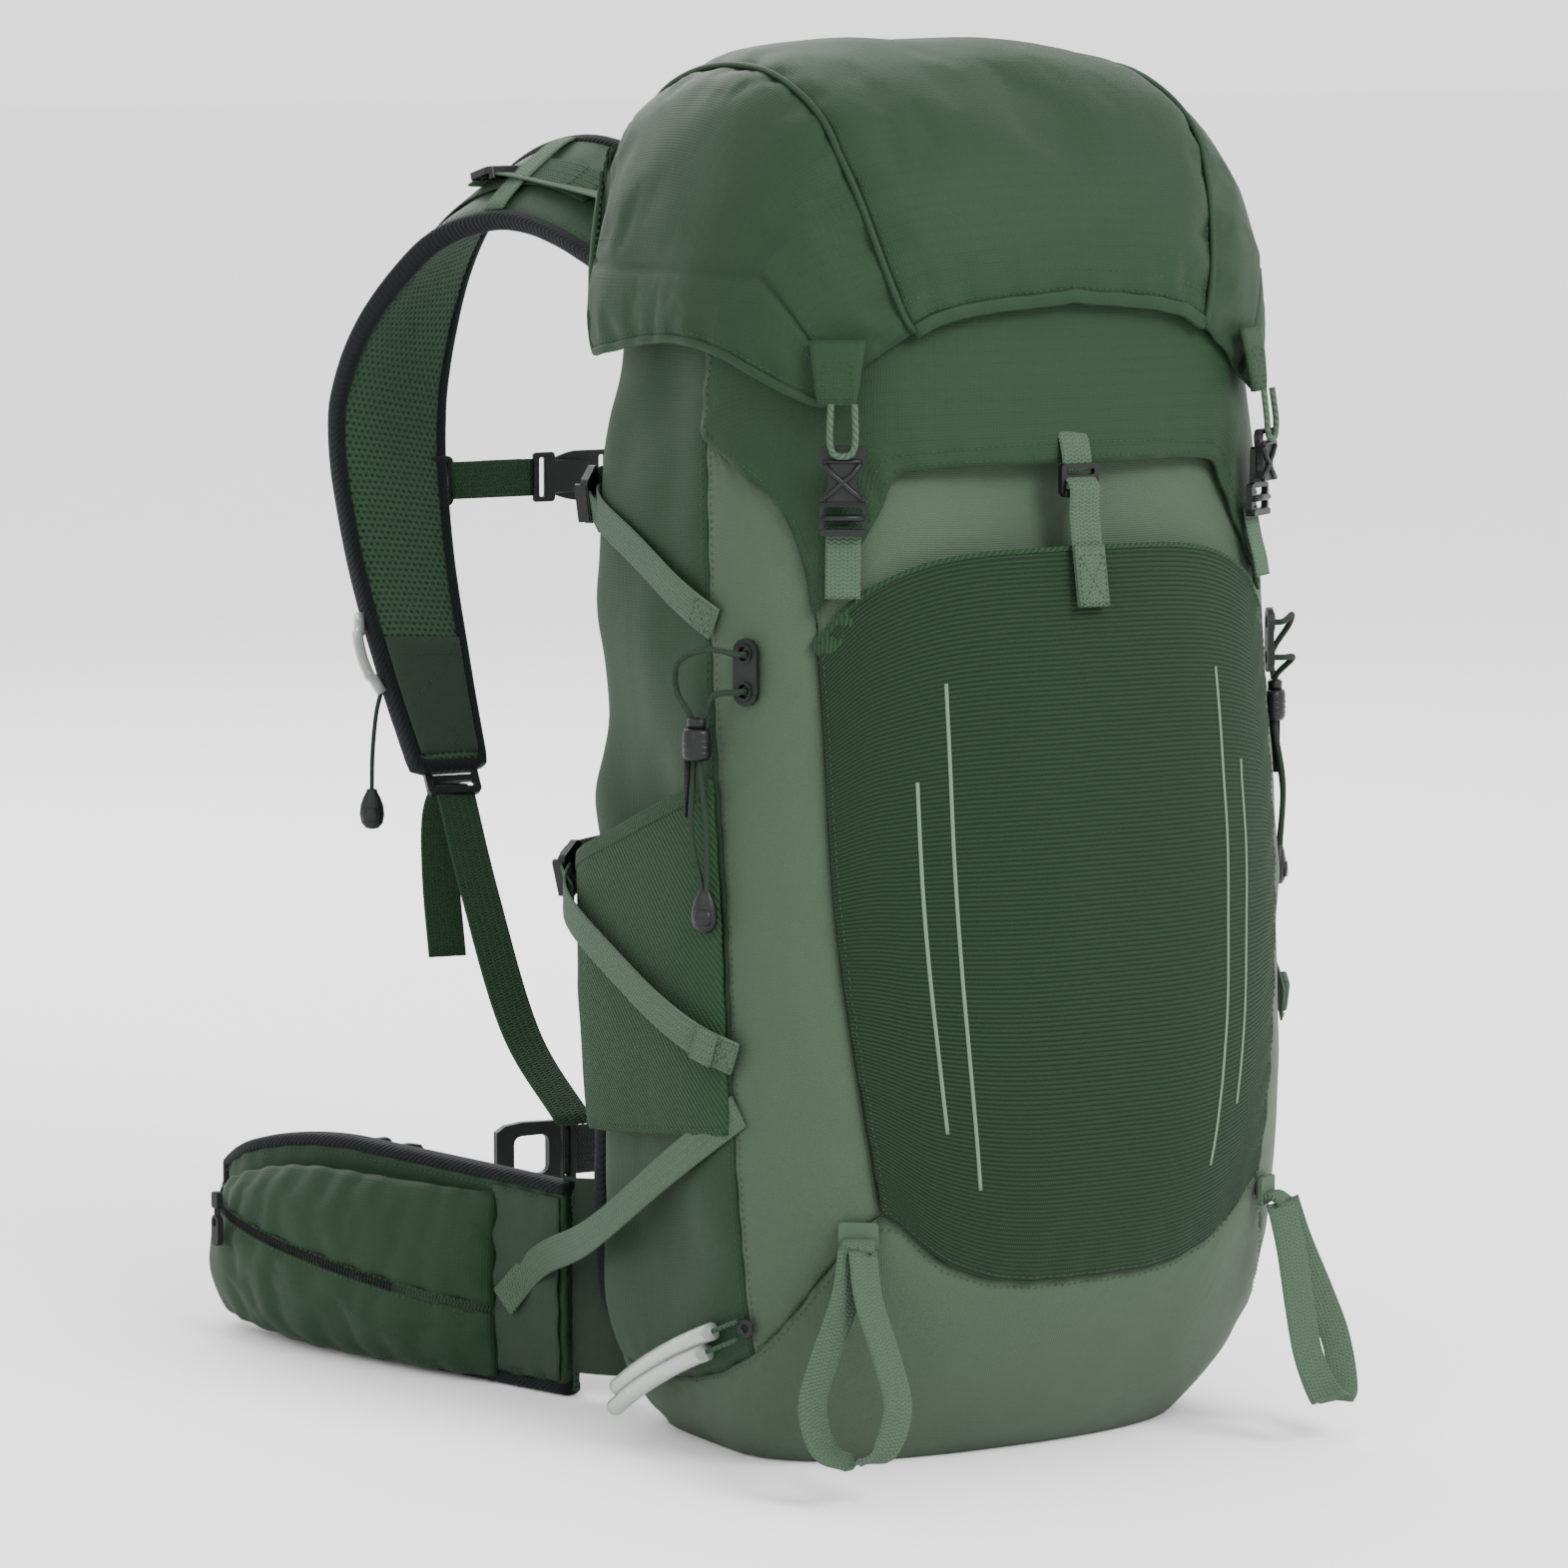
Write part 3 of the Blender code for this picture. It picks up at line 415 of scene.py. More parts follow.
STRETCH_SAGE = cloth("stretch_sage", (0.019, 0.031, 0.021), "plain", 0.8, depth=0.0003)
LINING = cloth("lining_grey_green", (0.016, 0.034, 0.018), "plain", 0.7, depth=0.0002)
ACCENT = cloth("accent_sage", (0.080, 0.130, 0.084), "plain", 0.6, depth=0.0001)
THREAD = cloth("thread_green", (0.025, 0.050, 0.028), "plain", 0.6, depth=0.0001)
CORD = cloth("cord_sage", WEB_SAGE, "twill", 0.7, depth=0.0004)
CORD_GREEN = cloth("cord_green", (0.024, 0.050, 0.029), "twill", 0.7, depth=0.0004)
ACETAL = moulded("black_acetal", NEAR_BLACK, 0.38, Specular_IOR_Level=0.22)
SOFT_BLACK = moulded("black_rubber", (0.006, 0.006, 0.007), 0.6, Specular_IOR_Level=0.2)
CLEAR = moulded("clear_tube", (0.19, 0.21, 0.19), 0.30, Transmission_Weight=0.2, IOR=1.42)
ALLOY = moulded("alloy", (0.55, 0.56, 0.57), 0.35, Metallic=1.0)
SHEET = moulded("frame_sheet", (0.62, 0.62, 0.60), 0.5)
ZIP = cloth("coil_zip", (0.010, 0.022, 0.012), "webbing", 0.5, depth=0.0006)


# ---------------------------------------------------------------- builders


def heading(path, i):
    """The way a path runs at one of its points."""
    return (path[min(i + 1, len(path) - 1)] - path[max(i - 1, 0)]).normalized()


def mirrored(half):
    """A whole outline from its right half."""
    return [*half, *[(-x, z) for x, z in reversed(half)]]


def upright(side, way):
    """Rows of a belt piece run upwards on the left and downwards on the right, so that each faces out."""
    return way if side == "left" else way[::-1]


def ride(obj, body, nodes=()):
    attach(obj, body)
    if nodes:
        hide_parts(*nodes)
    return obj


def new_object(name, shape, mat, smooth=True):
    for face in shape.faces:
        face.smooth = smooth
    mesh = bpy.data.meshes.new(name)
    shape.to_mesh(mesh)
    shape.free()
    obj = bpy.data.objects.new(name, mesh)
    obj.data.materials.append(mat)
    bpy.context.scene.collection.objects.link(obj)
    return obj


def skin(name, rows, mat, body, nodes=(), thickness=0.0014, offset=-1.0, closed=False, cap=False):
    """A sewn panel: a grid of points, its pattern laid out in metres, made into cloth of a thickness."""
    shape = bmesh.new()
    layout = shape.loops.layers.uv.new("UVMap")
    lines = [[shape.verts.new(point) for point in row] for row in rows]
    middle = rows[len(rows) // 2]
    column = [row[len(row) // 2] for row in rows]
    us, vs = [0.0], [0.0]
    for a, b in zip(middle, [*middle[1:], middle[0]]):
        us.append(us[-1] + (b - a).length)
    for a, b in zip(column, column[1:]):
        vs.append(vs[-1] + (b - a).length)
    for k, (lower, upper) in enumerate(zip(lines, lines[1:])):
        count = len(lower)
        for i in range(count if closed else count - 1):
            j = (i + 1) % count
            face = shape.faces.new((lower[i], lower[j], upper[j], upper[i]))
            for loop, uv in zip(
                face.loops, ((us[i], vs[k]), (us[i + 1], vs[k]), (us[i + 1], vs[k + 1]), (us[i], vs[k + 1]))
            ):
                loop[layout].uv = uv
    if cap:
        face = shape.faces.new(lines[-1])
        for loop in face.loops:
            loop[layout].uv = loop.vert.co.xy
    obj = new_object(name, shape, mat)
    if thickness:
        solid = obj.modifiers.new("thickness", "SOLIDIFY")
        solid.thickness = thickness
        solid.offset = offset
    return ride(obj, body, nodes)


def normals_of(rows, closed=False):
    """The outward direction at each point of a grid."""
    made = []
    for k, row in enumerate(rows):
        above, below = rows[min(k + 1, len(rows) - 1)], rows[max(k - 1, 0)]
        line = []
        for i in range(len(row)):
            last = len(row) - 1
            right = row[(i + 1) % len(row)] if closed else row[min(i + 1, last)]
            left = row[i - 1] if closed else row[max(i - 1, 0)]
            way = (right - left).cross(above[i] - below[i])
            line.append(way.normalized() if way.length > 1e-12 else Vector((0, 0, 1)))
        made.append(line)
    return made


def dress(rows, tuck=0.0013, reach=0.005, ripple=0.0006, pitch=0.019, wrinkle=0.0012, scale=16.0, seed=0.0,
          closed=False, sides="lrtb", puff=0.0):
    """Gives a panel its sewn look: drawn in at its seams, puckered along them, and softly creased between."""
    ways = normals_of(rows, closed)
    made = []
    for k, row in enumerate(rows):
        across = [0.0]
        for a, b in zip(row, row[1:]):
            across.append(across[-1] + (b - a).length)
        line = []
        for i, point in enumerate(row):
            far = {"l": across[i], "r": across[-1] - across[i]} if not closed else {}
            tall = (rows[-1][i] - rows[0][i]).length
            share = k / (len(rows) - 1)
            far["b"], far["t"] = share * tall, (1 - share) * tall
            near = min([far[s] for s in sides if s in far] or [1.0])
            along = across[i] if near in (far.get("b"), far.get("t")) else share * tall
            wave = sin(2 * pi * along / pitch + 2.2 * noise.noise(point * 30 + Vector((seed, 0, 0))))
            crease = noise.noise(
                Vector((point.x, point.y, point.z * 1.7)) * scale + Vector((seed, seed, 0))
            )
            crease += 0.5 * noise.noise(point * scale * 2.7 + Vector((0, seed, 3.1)))
            out = -tuck * exp(-near / reach) + ripple * wave * exp(-near / 0.014)
            out += wrinkle * crease * (1 - exp(-near / 0.010)) + puff * (1 - exp(-near / 0.030))
            line.append(point + ways[k][i] * out)
        made.append(line)
    return made


def section(width, height, sides, power):
    loop = []
    for a in spread(0, 2 * pi, sides + 1)[:-1]:
        c, s = cos(a), sin(a)
        loop.append(
            (
                width / 2 * abs(c) ** (2 / power) * (1 if c >= 0 else -1),
                height / 2 * abs(s) ** (2 / power) * (1 if s >= 0 else -1)
            )
        )
    return loop


def bar_mesh(shape, path, facings, widths, heights, sides=12, power=5.0):
    """A strap, binding or cord: one section swept along a path, its flat side facing the given way."""
    layout = shape.loops.layers.uv.verify()
    count = len(path)
    facings = [facings] * count if isinstance(facings, Vector) else facings
    widths = [widths] * count if isinstance(widths, float) else widths
    heights = [heights] * count if isinstance(heights, float) else heights
    lines, marks, run_length = [], [], 0.0
    for i, point in enumerate(path):
        run = heading(path, i)
        out = (facings[i] - run * facings[i].dot(run)).normalized()
        across = run.cross(out)
        ring = section(widths[i], heights[i], sides, power)
        lines.append([shape.verts.new(point + across * x + out * y) for x, y in ring])
        marks.append([(x, run_length) for x, y in ring])
        if i + 1 < count:
            run_length += (path[i + 1] - point).length
    for k in range(count - 1):
        for i in range(sides):
            j = (i + 1) % sides
            face = shape.faces.new((lines[k][i], lines[k][j], lines[k + 1][j], lines[k + 1][i]))
            face.smooth = True
            for loop, uv in zip(face.loops, (marks[k][i], marks[k][j], marks[k + 1][j], marks[k + 1][i])):
                loop[layout].uv = uv
    shape.faces.new(list(reversed(lines[0])))
    shape.faces.new(lines[-1])


def bar(name, path, facings, widths, heights, mat, body, nodes=(), sides=12, power=5.0):
    shape = bmesh.new()
    bar_mesh(shape, path, facings, widths, heights, sides, power)
    return ride(new_object(name, shape, mat), body, nodes)


STITCHES = {}


def stitch(points, body, pitch=0.0034, length=0.0021, radius=0.00026):
    """A row of stitches along a line on the surface, kept until each body's are made as one piece."""
    rest = pitch / 2
    for a, b in zip(points, points[1:]):
        step = (b - a).length
        if step < 1e-7:
            continue
        way = (b - a) / step
        while rest < step:
            STITCHES.setdefault(body, []).append((a + way * rest, way, length / 2, radius))
            rest += pitch
        rest -= step


def make_stitches():
    for body, many in STITCHES.items():
        shape = bmesh.new()
        for centre, way, half, radius in many:
            side = way.orthogonal().normalized()
            other = way.cross(side)
            ring = [
                shape.verts.new(centre + side * radius * cos(a) + other * radius * sin(a))
                for a in (0, pi / 2, pi, 3 * pi / 2)
            ]
            ends = [shape.verts.new(centre - way * half), shape.verts.new(centre + way * half)]
            for i in range(4):
                j = (i + 1) % 4
                shape.faces.new((ring[j], ring[i], ends[0]))
                shape.faces.new((ring[i], ring[j], ends[1]))
        ride(new_object(f"stitching_{body}", shape, THREAD), body)


def inset(rows, side, by, lift=0.0004):
    """A line on a grid, a distance in from one of its edges: l, r, b or t."""
    ways = normals_of(rows)
    flip = side in "bt"
    grid = [list(line) for line in zip(*rows)] if flip else rows
    face = [list(line) for line in zip(*ways)] if flip else ways
    line = []
    for row, way in zip(grid, face):
        order = range(len(row)) if side in "lb" else range(len(row) - 1, -1, -1)
        order = list(order)
        gone = 0.0
        for a, b in zip(order, order[1:]):
            step = (row[b] - row[a]).length
            if gone + step >= by:
                share = (by - gone) / max(step, 1e-9)
                line.append(row[a].lerp(row[b], share) + way[a].lerp(way[b], share) * lift)
                break
            gone += step
    return line


class Mould:
    """Collects the plates, turned parts and rods of one moulded piece."""

    def __init__(self):
        self.shape = bmesh.new()

    def plate(self, loops, depth, place, bevel=0.0005):
        part = bmesh.new()
        flat = [[Vector((x, z, 0)) for x, z in loop] for loop in loops]
        points = [p for loop in flat for p in loop]
        faces = [[part.verts.new((p.x, y, p.y)) for p in points] for y in (-depth / 2, depth / 2)]
        for a, b, c in tessellate_polygon(flat):
            part.faces.new((faces[0][a], faces[0][b], faces[0][c]))
            part.faces.new((faces[1][c], faces[1][b], faces[1][a]))
        start = 0
        for loop in flat:
            for i in range(len(loop)):
                a, b = start + i, start + (i + 1) % len(loop)
                part.faces.new((faces[0][a], faces[0][b], faces[1][b], faces[1][a]))
            start += len(loop)
        bmesh.ops.recalc_face_normals(part, faces=part.faces)
        if bevel:
            rims = [
                e
                for e in part.edges if abs(
                    e.verts[0].co.y - e.verts[1].co.y
                ) < 1e-7 and e.calc_face_angle(0) > 1.2
            ]
            bmesh.ops.bevel(
                part, geom=rims, offset=bevel, segments=2, profile=0.5, affect="EDGES", clamp_overlap=True
            )
        bmesh.ops.transform(part, matrix=place, verts=part.verts)
        self.take(part)
        return self

    def lathe(self, line, place, sides=20, squash=1.0):
        """line is (radius, height) pairs up local Z; squash flattens it along local Y."""
        part = bmesh.new()
        rings = []
        for radius, height in line:
            if radius < 1e-6:
                rings.append([part.verts.new((0, 0, height))])
                continue
            turns = spread(0, 2 * pi, sides + 1)[:-1]
            rings.append(
                [part.verts.new((radius * cos(a), radius * sin(a) * squash, height)) for a in turns]
            )
        for low, high in zip(rings, rings[1:]):
            for i in range(sides):
                j = (i + 1) % sides
                a, b = low[i % len(low)], low[j % len(low)]
                c, d = high[j % len(high)], high[i % len(high)]
                corners = [a, b, c, d]
                kept = [v for n, v in enumerate(corners) if v not in corners[:n]]
                if len(kept) > 2:
                    face = part.faces.new(kept)
                    face.smooth = True
        bmesh.ops.recalc_face_normals(part, faces=part.faces)
        bmesh.ops.transform(part, matrix=place, verts=part.verts)
        self.take(part)
        return self

    def rod(self, points, radius, sides=10):
        bar_mesh(
            self.shape, [Vector(p) for p in points], Vector((0.31, 0.52, 0.8)), radius * 2, radius * 2,
            sides, 2.0
        )
        return self

    def take(self, part):
        mesh = bpy.data.meshes.new("part")
        part.to_mesh(mesh)
        part.free()
        self.shape.from_mesh(mesh)
        bpy.data.meshes.remove(mesh)

    def make(self, name, mat, body, nodes=()):
        mesh = bpy.data.meshes.new(name)
        self.shape.to_mesh(mesh)
        self.shape.free()
        obj = bpy.data.objects.new(name, mesh)
        obj.data.materials.append(mat)
        bpy.context.scene.collection.objects.link(obj)
        return ride(obj, body, nodes)


def wall_rows(edges, foot, top, columns, rows, recess=0.0, recess_top=9.0):
    lines = []
    for share in spread(0, 1, rows):
        line = []
        for across in spread(0, 1, columns):
            low = foot(mix(*edges(0.09), across))
            low = foot(mix(*edges(low), across))
            height = mix(low, top, share)
            sunk = recess * (1 - (2 * across - 1) ** 2) ** 2 * min(1.0, (height - low) / 0.06)
            sunk *= min(1.0, max(0.0, (recess_top - height) / 0.06))
            line.append(bag_point(mix(*edges(height), across), height, -sunk))
        lines.append(line)
    return lines


# ---------------------------------------------------------------- bag

FIT = 0.06  # degrees left between neighbouring panels, which meet at their seams


def make_bag():
    turns = spread(180, -180, 145)[:-1]
    rows = []
    for share in (1.0, 0.95, 0.88, 0.8, 0.7, 0.6, 0.5, 0.42, 0.34, 0.26, 0.18, 0.12, 0.06, 0.03, 0.0):
        rows.append([bag_point(t, (profile(BASE_SEAM, abs(t)) + 0.0016) * share) for t in turns])
    dressed = dress(rows, closed=True, sides="b", wrinkle=0.0013, scale=19, ripple=0.0010, seed=2.0)
    floor = [
        [Vector((a.x, a.y, max(a.z, 0.0))) if k < 14 else b for a, b in zip(*pair)]
        for k, pair in enumerate(zip(dressed, rows))
    ]
    skin("base_cloth", floor, SAGE, "bag", ["base_panel"], closed=True, cap=True)
    stitch([p + (p - Vector((0, 0, p.z))).normalized() * 0.0004 for p in [*floor[1], floor[1][0]]], "bag")

    def seam(turn):
        return profile(BASE_SEAM, abs(turn)) + 0.0014

    def front_edges(height):
        edge = profile(GUSSET_FRONT, height) - FIT
        return -edge, edge

    rows = dress(wall_rows(front_edges, seam, 0.478, 70, 90, 0.010), wrinkle=0.0010, seed=5)
    skin("front_cloth", rows, SAGE, "bag", ["front_panel"])
    for side, sign in SIDES:

        def gusset_edges(height):
            return sorted(
                sign * e for e in (profile(GUSSET_FRONT, height) + FIT, profile(GUSSET_REAR, height) - FIT)
            )

        def side_edges(height):
            return sorted(sign * e for e in (profile(GUSSET_REAR, height) + FIT, BACK_CORNER - FIT))

        rows = dress(
            wall_rows(gusset_edges, seam, 0.4465, 22, 110), wrinkle=0.0020, scale=13, seed=7 + sign,
            ripple=0.0003
        )
        skin(f"gusset_cloth_{side}", rows, SAGE, "bag", [f"gusset_{side}"])
        stitch(inset(rows, "r" if sign > 0 else "l", 0.003), "bag")
        rows = dress(
            wall_rows(side_edges, seam, PANEL_TOP, 60, 110, 0.008, 0.36), wrinkle=0.0046, scale=11,
            seed=11 + sign, ripple=0.0003
        )
        skin(f"side_cloth_{side}", rows, RIPSTOP, "bag", [f"side_panel_{side}"])
        stitch(inset(rows, "l" if sign > 0 else "r", 0.003), "bag")
    rows = []
    for height in spread(0.0304, 0.553, 60):
        edge = bag_point(BACK_CORNER + FIT, height)
        row = [Vector((x, bag_point(180 - x * 300, height).y, height)) for x in spread(edge.x, -edge.x, 40)]
        row[0], row[-1] = edge, Vector((-edge.x, edge.y, height))
        rows.append(row)
    skin("back_cloth", dress(rows, wrinkle=0.0004), RIPSTOP, "bag", ["back_panel"])
    rows = []
    for share in spread(0, 1, 34):
        line = []
        for across in spread(-1, 1, 90):
            height = mix(profile(UPPER_EDGE, abs(across) * 57), PANEL_TOP, share)
            reach = profile(GUSSET_FRONT, height)
            reach = mix(reach, profile(GUSSET_REAR, height), min(1.0, max(0.0, (height - 0.440) / 0.007)))
            line.append(bag_point(across * (reach - FIT), height, 0.0012))
        rows.append(line)
    rows = dress(rows, tuck=0.0004, wrinkle=0.0016, scale=14, seed=21, sides="lrb")
    skin("upper_front_cloth", rows, RIPSTOP, "bag", ["upper_front_panel"], thickness=0.0016, offset=1.0)
    for by in (0.0025, 0.0085):
        stitch(inset(rows, "b", by, 0.0018), "bag")
    stitch(inset(rows, "l", 0.003, 0.0018), "bag")
    stitch(inset(rows, "r", 0.003, 0.0018), "bag")
    turns = spread(-BACK_CORNER + 5, BACK_CORNER - 5, 120)
    stations = [
        (0.478, 0.0045), (0.490, 0.0055), (0.502, 0.0070), (0.512, 0.0100), (0.520, 0.0140),
        (0.526, 0.0185), (0.530, 0.0240)
    ]
    rows = [
        [bag_point(t, z, -i + 0.0016 * (z - 0.478) / 0.05 * sin(t * 0.9)) for t in turns]
        for z, i in stations
    ]
    skin("collar_cloth", rows, LINING, "bag", ["collar"], thickness=0.0010)
    bar("collar_cord", rows[-1], Vector((0, 0, 1)), 0.0030, 0.0030, CORD_GREEN, "bag", sides=8, power=2.0)


def make_pockets():
    rows = []
    for share in spread(0, 1, 110):
        line = []
        for across in spread(-1, 1, 90):
            height = mix(
                profile(POCKET_FOOT, abs(across) * 43) - 0.002, profile(POCKET_RIM, abs(across) * 56), share
            )
            belly = (1 - across**2) * min(1.0, share / 0.25)
            line.append(
                bag_point(across * (profile(GUSSET_FRONT, height) - 0.25), height, 0.0012 + 0.004 * belly)
            )
        rows.append(line)
    rows = dress(rows, tuck=0.0006, ripple=0.0004, wrinkle=0.0010, scale=10, seed=31, sides="lrb")
    skin("front_pocket_knit", rows, RIB, "bag", ["front_pocket"], thickness=0.0014, offset=1.0)
    ways = normals_of(rows)
    rim = [p + w * 0.0009 for p, w in zip(rows[-1], ways[-1])]
    hem = [p + w * 0.0010 - Vector((0, 0, 0.0045)) for p, w in zip(rows[-1], ways[-1])]
    bar("front_pocket_hem", hem, ways[-1], 0.0105, 0.0018, TWILL, "bag")
    bar("front_pocket_rim", rim, ways[-1], 0.0024, 0.0026, TWILL, "bag", sides=8, power=2.0)
    stitch(
        [p + w * 0.0022 - Vector((0, 0, 0.0088)) for p, w in zip(rows[-1], ways[-1])], "bag", pitch=0.003
    )
    for side in "lrb":
        stitch(inset(rows, side, 0.0028, 0.0017), "bag")
    # A plain accent: two straight printed lines down each side of the pocket.
    for side, sign in SIDES:
        for number, (part, low, high) in enumerate(((0.60, 14, 92), (0.70, 22, 78))):
            column = round((sign * part + 1) / 2 * 89)
            path = [rows[k][column] + ways[k][column] * 0.00155 for k in range(low, high)]
            bar(
                f"accent_line_{side}_{number}", path, [ways[k][column] for k in range(low, high)], 0.0017,
                0.0003, ACCENT, "bag", sides=6
            )
    for side, sign in SIDES:
        rows = []
        for share in spread(0, 1, 60):
            line = []
            for across in spread(0, 1, 50):
                forward = across if sign < 0 else 1 - across
                height = mix(mix(0.132, 0.150, forward), mix(0.245, 0.302, forward), share)
                turn = sign * mix(BACK_CORNER - 3, profile(GUSSET_REAR, height) + 0.5, forward)
                belly = sin(pi * forward) ** 0.7 * min(1.0, 0.05 + share * 1.8)
                line.append(bag_point(turn, height, 0.0010 + 0.0054 * belly))
            rows.append(line)
        rows = dress(rows, tuck=0.0006, ripple=0.0003, wrinkle=0.0012, scale=15, seed=41, sides="lrb")
        skin(
            f"side_pocket_knit_{side}", rows, TWILL, "bag", [f"side_pocket_{side}"], thickness=0.0013,
            offset=1.0
        )
        ways = normals_of(rows)
        path = [p + w * 0.0010 - Vector((0, 0, 0.0028)) for p, w in zip(rows[-1], ways[-1])]
        bar(f"side_pocket_hem_{side}", path, ways[-1], 0.0072, 0.0019, WEBBING_GREEN, "bag")
        stitch(inset(rows, "b", 0.003, 0.0016), "bag")


def wall_path(sign, stops, count):
    line = smooth_line(stops, count)
    path = [bag_point(sign * p.x, p.y, p.z) for p in line]
    facings = []
    for p in line:
        ahead = bag_point(sign * p.x + 0.5, p.y) - bag_point(sign * p.x - 0.5, p.y)
        facings.append(Vector((ahead.y, -ahead.x, 0)).normalized())
    return path, facings


def box_stitch(path, facings, width, start, end, body, lift=0.0011):
    """A box of stitches with a cross in it, on a strap between two shares of its path."""
    first, last = round(start * (len(path) - 1)), round(end * (len(path) - 1))
    points, outs = path[first : last + 1], facings[first : last + 1]
    if len(points) < 3:
        return
    sides = []
    for sign in (-1, 1):
        line = []
        for i, (p, o) in enumerate(zip(points, outs)):
            run = heading(points, i)
            line.append(p + run.cross(o).normalized() * sign * (width / 2 - 0.0015) + o * lift)
        stitch(line, body, pitch=0.0028, length=0.0018)
        sides.append(line)
    for a, b in (
        (sides[0][0], sides[1][0]), (sides[0][-1], sides[1][-1]), (sides[0][0], sides[1][-1]),
        (sides[1][0], sides[0][-1])
    ):
        stitch(spread(a, b, 6), body, pitch=0.0028, length=0.0018)


def ladder(place, width=0.0215, height=0.0185, slot=0.0152):
    """A ladder-lock buckle: a curved frame with its middle bar and a thumb lip."""
    m = Mould()
    slots = [rounded(slot, 0.0032, 0.0010, z=0.0042), rounded(slot, 0.0032, 0.0010, z=-0.0020)]
    m.plate([rounded(width, height, 0.0028), *slots], 0.0034, place, 0.0006)
    m.plate(
        [rounded(width * 0.86, 0.0034, 0.0012, z=-height / 2 + 0.001)], 0.0052,
        place @ Matrix.Translation((0, -0.0016, 0)), 0.0008
    )
    m.rod([place @ Vector((x, -0.0012, 0.0012)) for x in (-slot / 2, slot / 2)], 0.0014, 8)
    return m


def make_straps():
    for side, sign in SIDES:
        stops = ((75, 0.368, 0.0026), (87, 0.381, 0.003), (104, 0.399, 0.003), (121, 0.413, 0.003))
        path, outs = wall_path(sign, stops, 41)
        bar(
            f"upper_compression_{side}", path, outs, 0.015, 0.0015, WEBBING_SAGE, "bag",
            [f"upper_strap_{side}"]
        )
        box_stitch(path, outs, 0.015, 0.02, 0.14, "bag")
        stops = ((67.5, 0.184, 0.0045), (74, 0.190, 0.0080), (82, 0.200, 0.0115), (95, 0.215, 0.0125))
        stops += ((110, 0.232, 0.0120), (122, 0.245, 0.0095))
        path, outs = wall_path(sign, stops, 49)
        bar(
            f"lower_compression_{side}", path, outs, 0.015, 0.0015, WEBBING_SAGE, "bag",
            [f"lower_strap_{side}"]
        )
        box_stitch(path, outs, 0.015, 0.0, 0.10, "bag")
        tab = [p + o * 0.0020 for p, o in zip(path[5:11], outs[5:11])]
        bar(f"lower_tab_{side}", tab, outs[5:11], 0.015, 0.0032, WEBBING_SAGE, "bag")
        for name, turn, height, out in (("upper", 122.0, 0.4150, 0.0050), ("lower", 122.5, 0.2480, 0.0105)):
            place = stand(sign * turn, height, out + 0.0035) @ Matrix.Rotation(sign * radians(66), 4, "Y")
            ladder(place).make(f"{name}_lock_{side}", ACETAL, "bag")
            path, outs = wall_path(
                sign,
                (
                    (turn - 5, height - 0.010, out - 0.003), (turn + 2, height + 0.002, out + 0.0036),
                    (turn + 6, height + 0.006, out - 0.001), (turn + 7, height + 0.008, 0.001)
                ),
                14
            )
            bar(f"{name}_lock_web_{side}", path, outs, 0.0145, 0.0014, WEBBING_SAGE, "bag")


def make_axe_loops():
    for side, sign in SIDES:
        place = stand(sign * 47, 0.106, 0.0)
        outward, along = -place.col[1].xyz, place.col[0].xyz
        top = place.translation + outward * 0.012
        half = [
            (0.0022, 0.0), (0.005, -0.020), (0.0135, -0.045), (0.018, -0.064), (0.0125, -0.081),
            (0.0, -0.0865)
        ]
        leg = smooth_line([(x, z, 0) for x, z in half], 31)
        ring = [(p.x, p.y) for p in leg] + [(-p.x, p.y) for p in reversed(leg[:-1])]
        path = [top + along * x + Vector((0, 0, z)) + outward * (-z * 0.30) for x, z in ring]
        tilt = (outward * 0.64 + along * 0.77 * sign).normalized()
        outs = []
        for i in range(len(path)):
            run = heading(path, i)
            across = (tilt - run * tilt.dot(run)).normalized()
            outs.append(across.cross(run))
        body = f"axe_loop_{side}"
        bar(f"axe_loop_web_{side}", path, outs, 0.015, 0.0015, WEBBING_SAGE, body, [body])
        m = Mould()
        m.plate([rounded(0.017, 0.012, 0.0015)], 0.0022, stand(sign * 47, 0.1105, 0.0035), 0.0006)
        m.make(f"axe_loop_anchor_{side}", WEBBING_SAGE, "bag")
        link = [stand(sign * 47, 0.108, 0.004).translation, top + outward * 0.001]
        bar(
            f"axe_loop_root_{side}",
            smooth_line([link[0], (link[0] + link[1]) / 2 + Vector((0, 0, 0.0015)), link[1]], 8),
            Vector((0, 0, 1)), 0.015, 0.003, WEBBING_SAGE, body
        )


def cord_line(name, points, radius, mat, count=40):
    line = bpy.data.curves.new(name, "CURVE")
    line.dimensions = "3D"
    line.bevel_depth = radius
    line.bevel_resolution = 3
    line.use_fill_caps = True
    made = smooth_line(points, count)
    spline = line.splines.new("POLY")
    spline.points.add(len(made) - 1)
    for point, co in zip(spline.points, made):
        point.co = (*co, 1)
    obj = bpy.data.objects.new(name, line)
    obj.data.materials.append(mat)
    bpy.context.scene.collection.objects.link(obj)
    return obj, sum((b - a).length for a, b in zip(made, made[1:]))


def pull_tag(place):
    m = Mould()
    m.lathe(
        [
            (0, -0.0095), (0.0030, -0.0090), (0.0052, -0.0065), (0.0060, -0.0025), (0.0056, 0.0015),
            (0.0042, 0.0055), (0.0028, 0.0080), (0.0024, 0.0095), (0, 0.0098)
        ],
        place, 20, 0.55
    )
    m.lathe(
        [(0, -0.0044), (0.0036, -0.0042), (0.0042, -0.0015), (0.0034, 0.0022), (0, 0.0030)],
        place @ Matrix.Translation((0, -0.0026, -0.0015)), 16, 0.35
    )
    return m


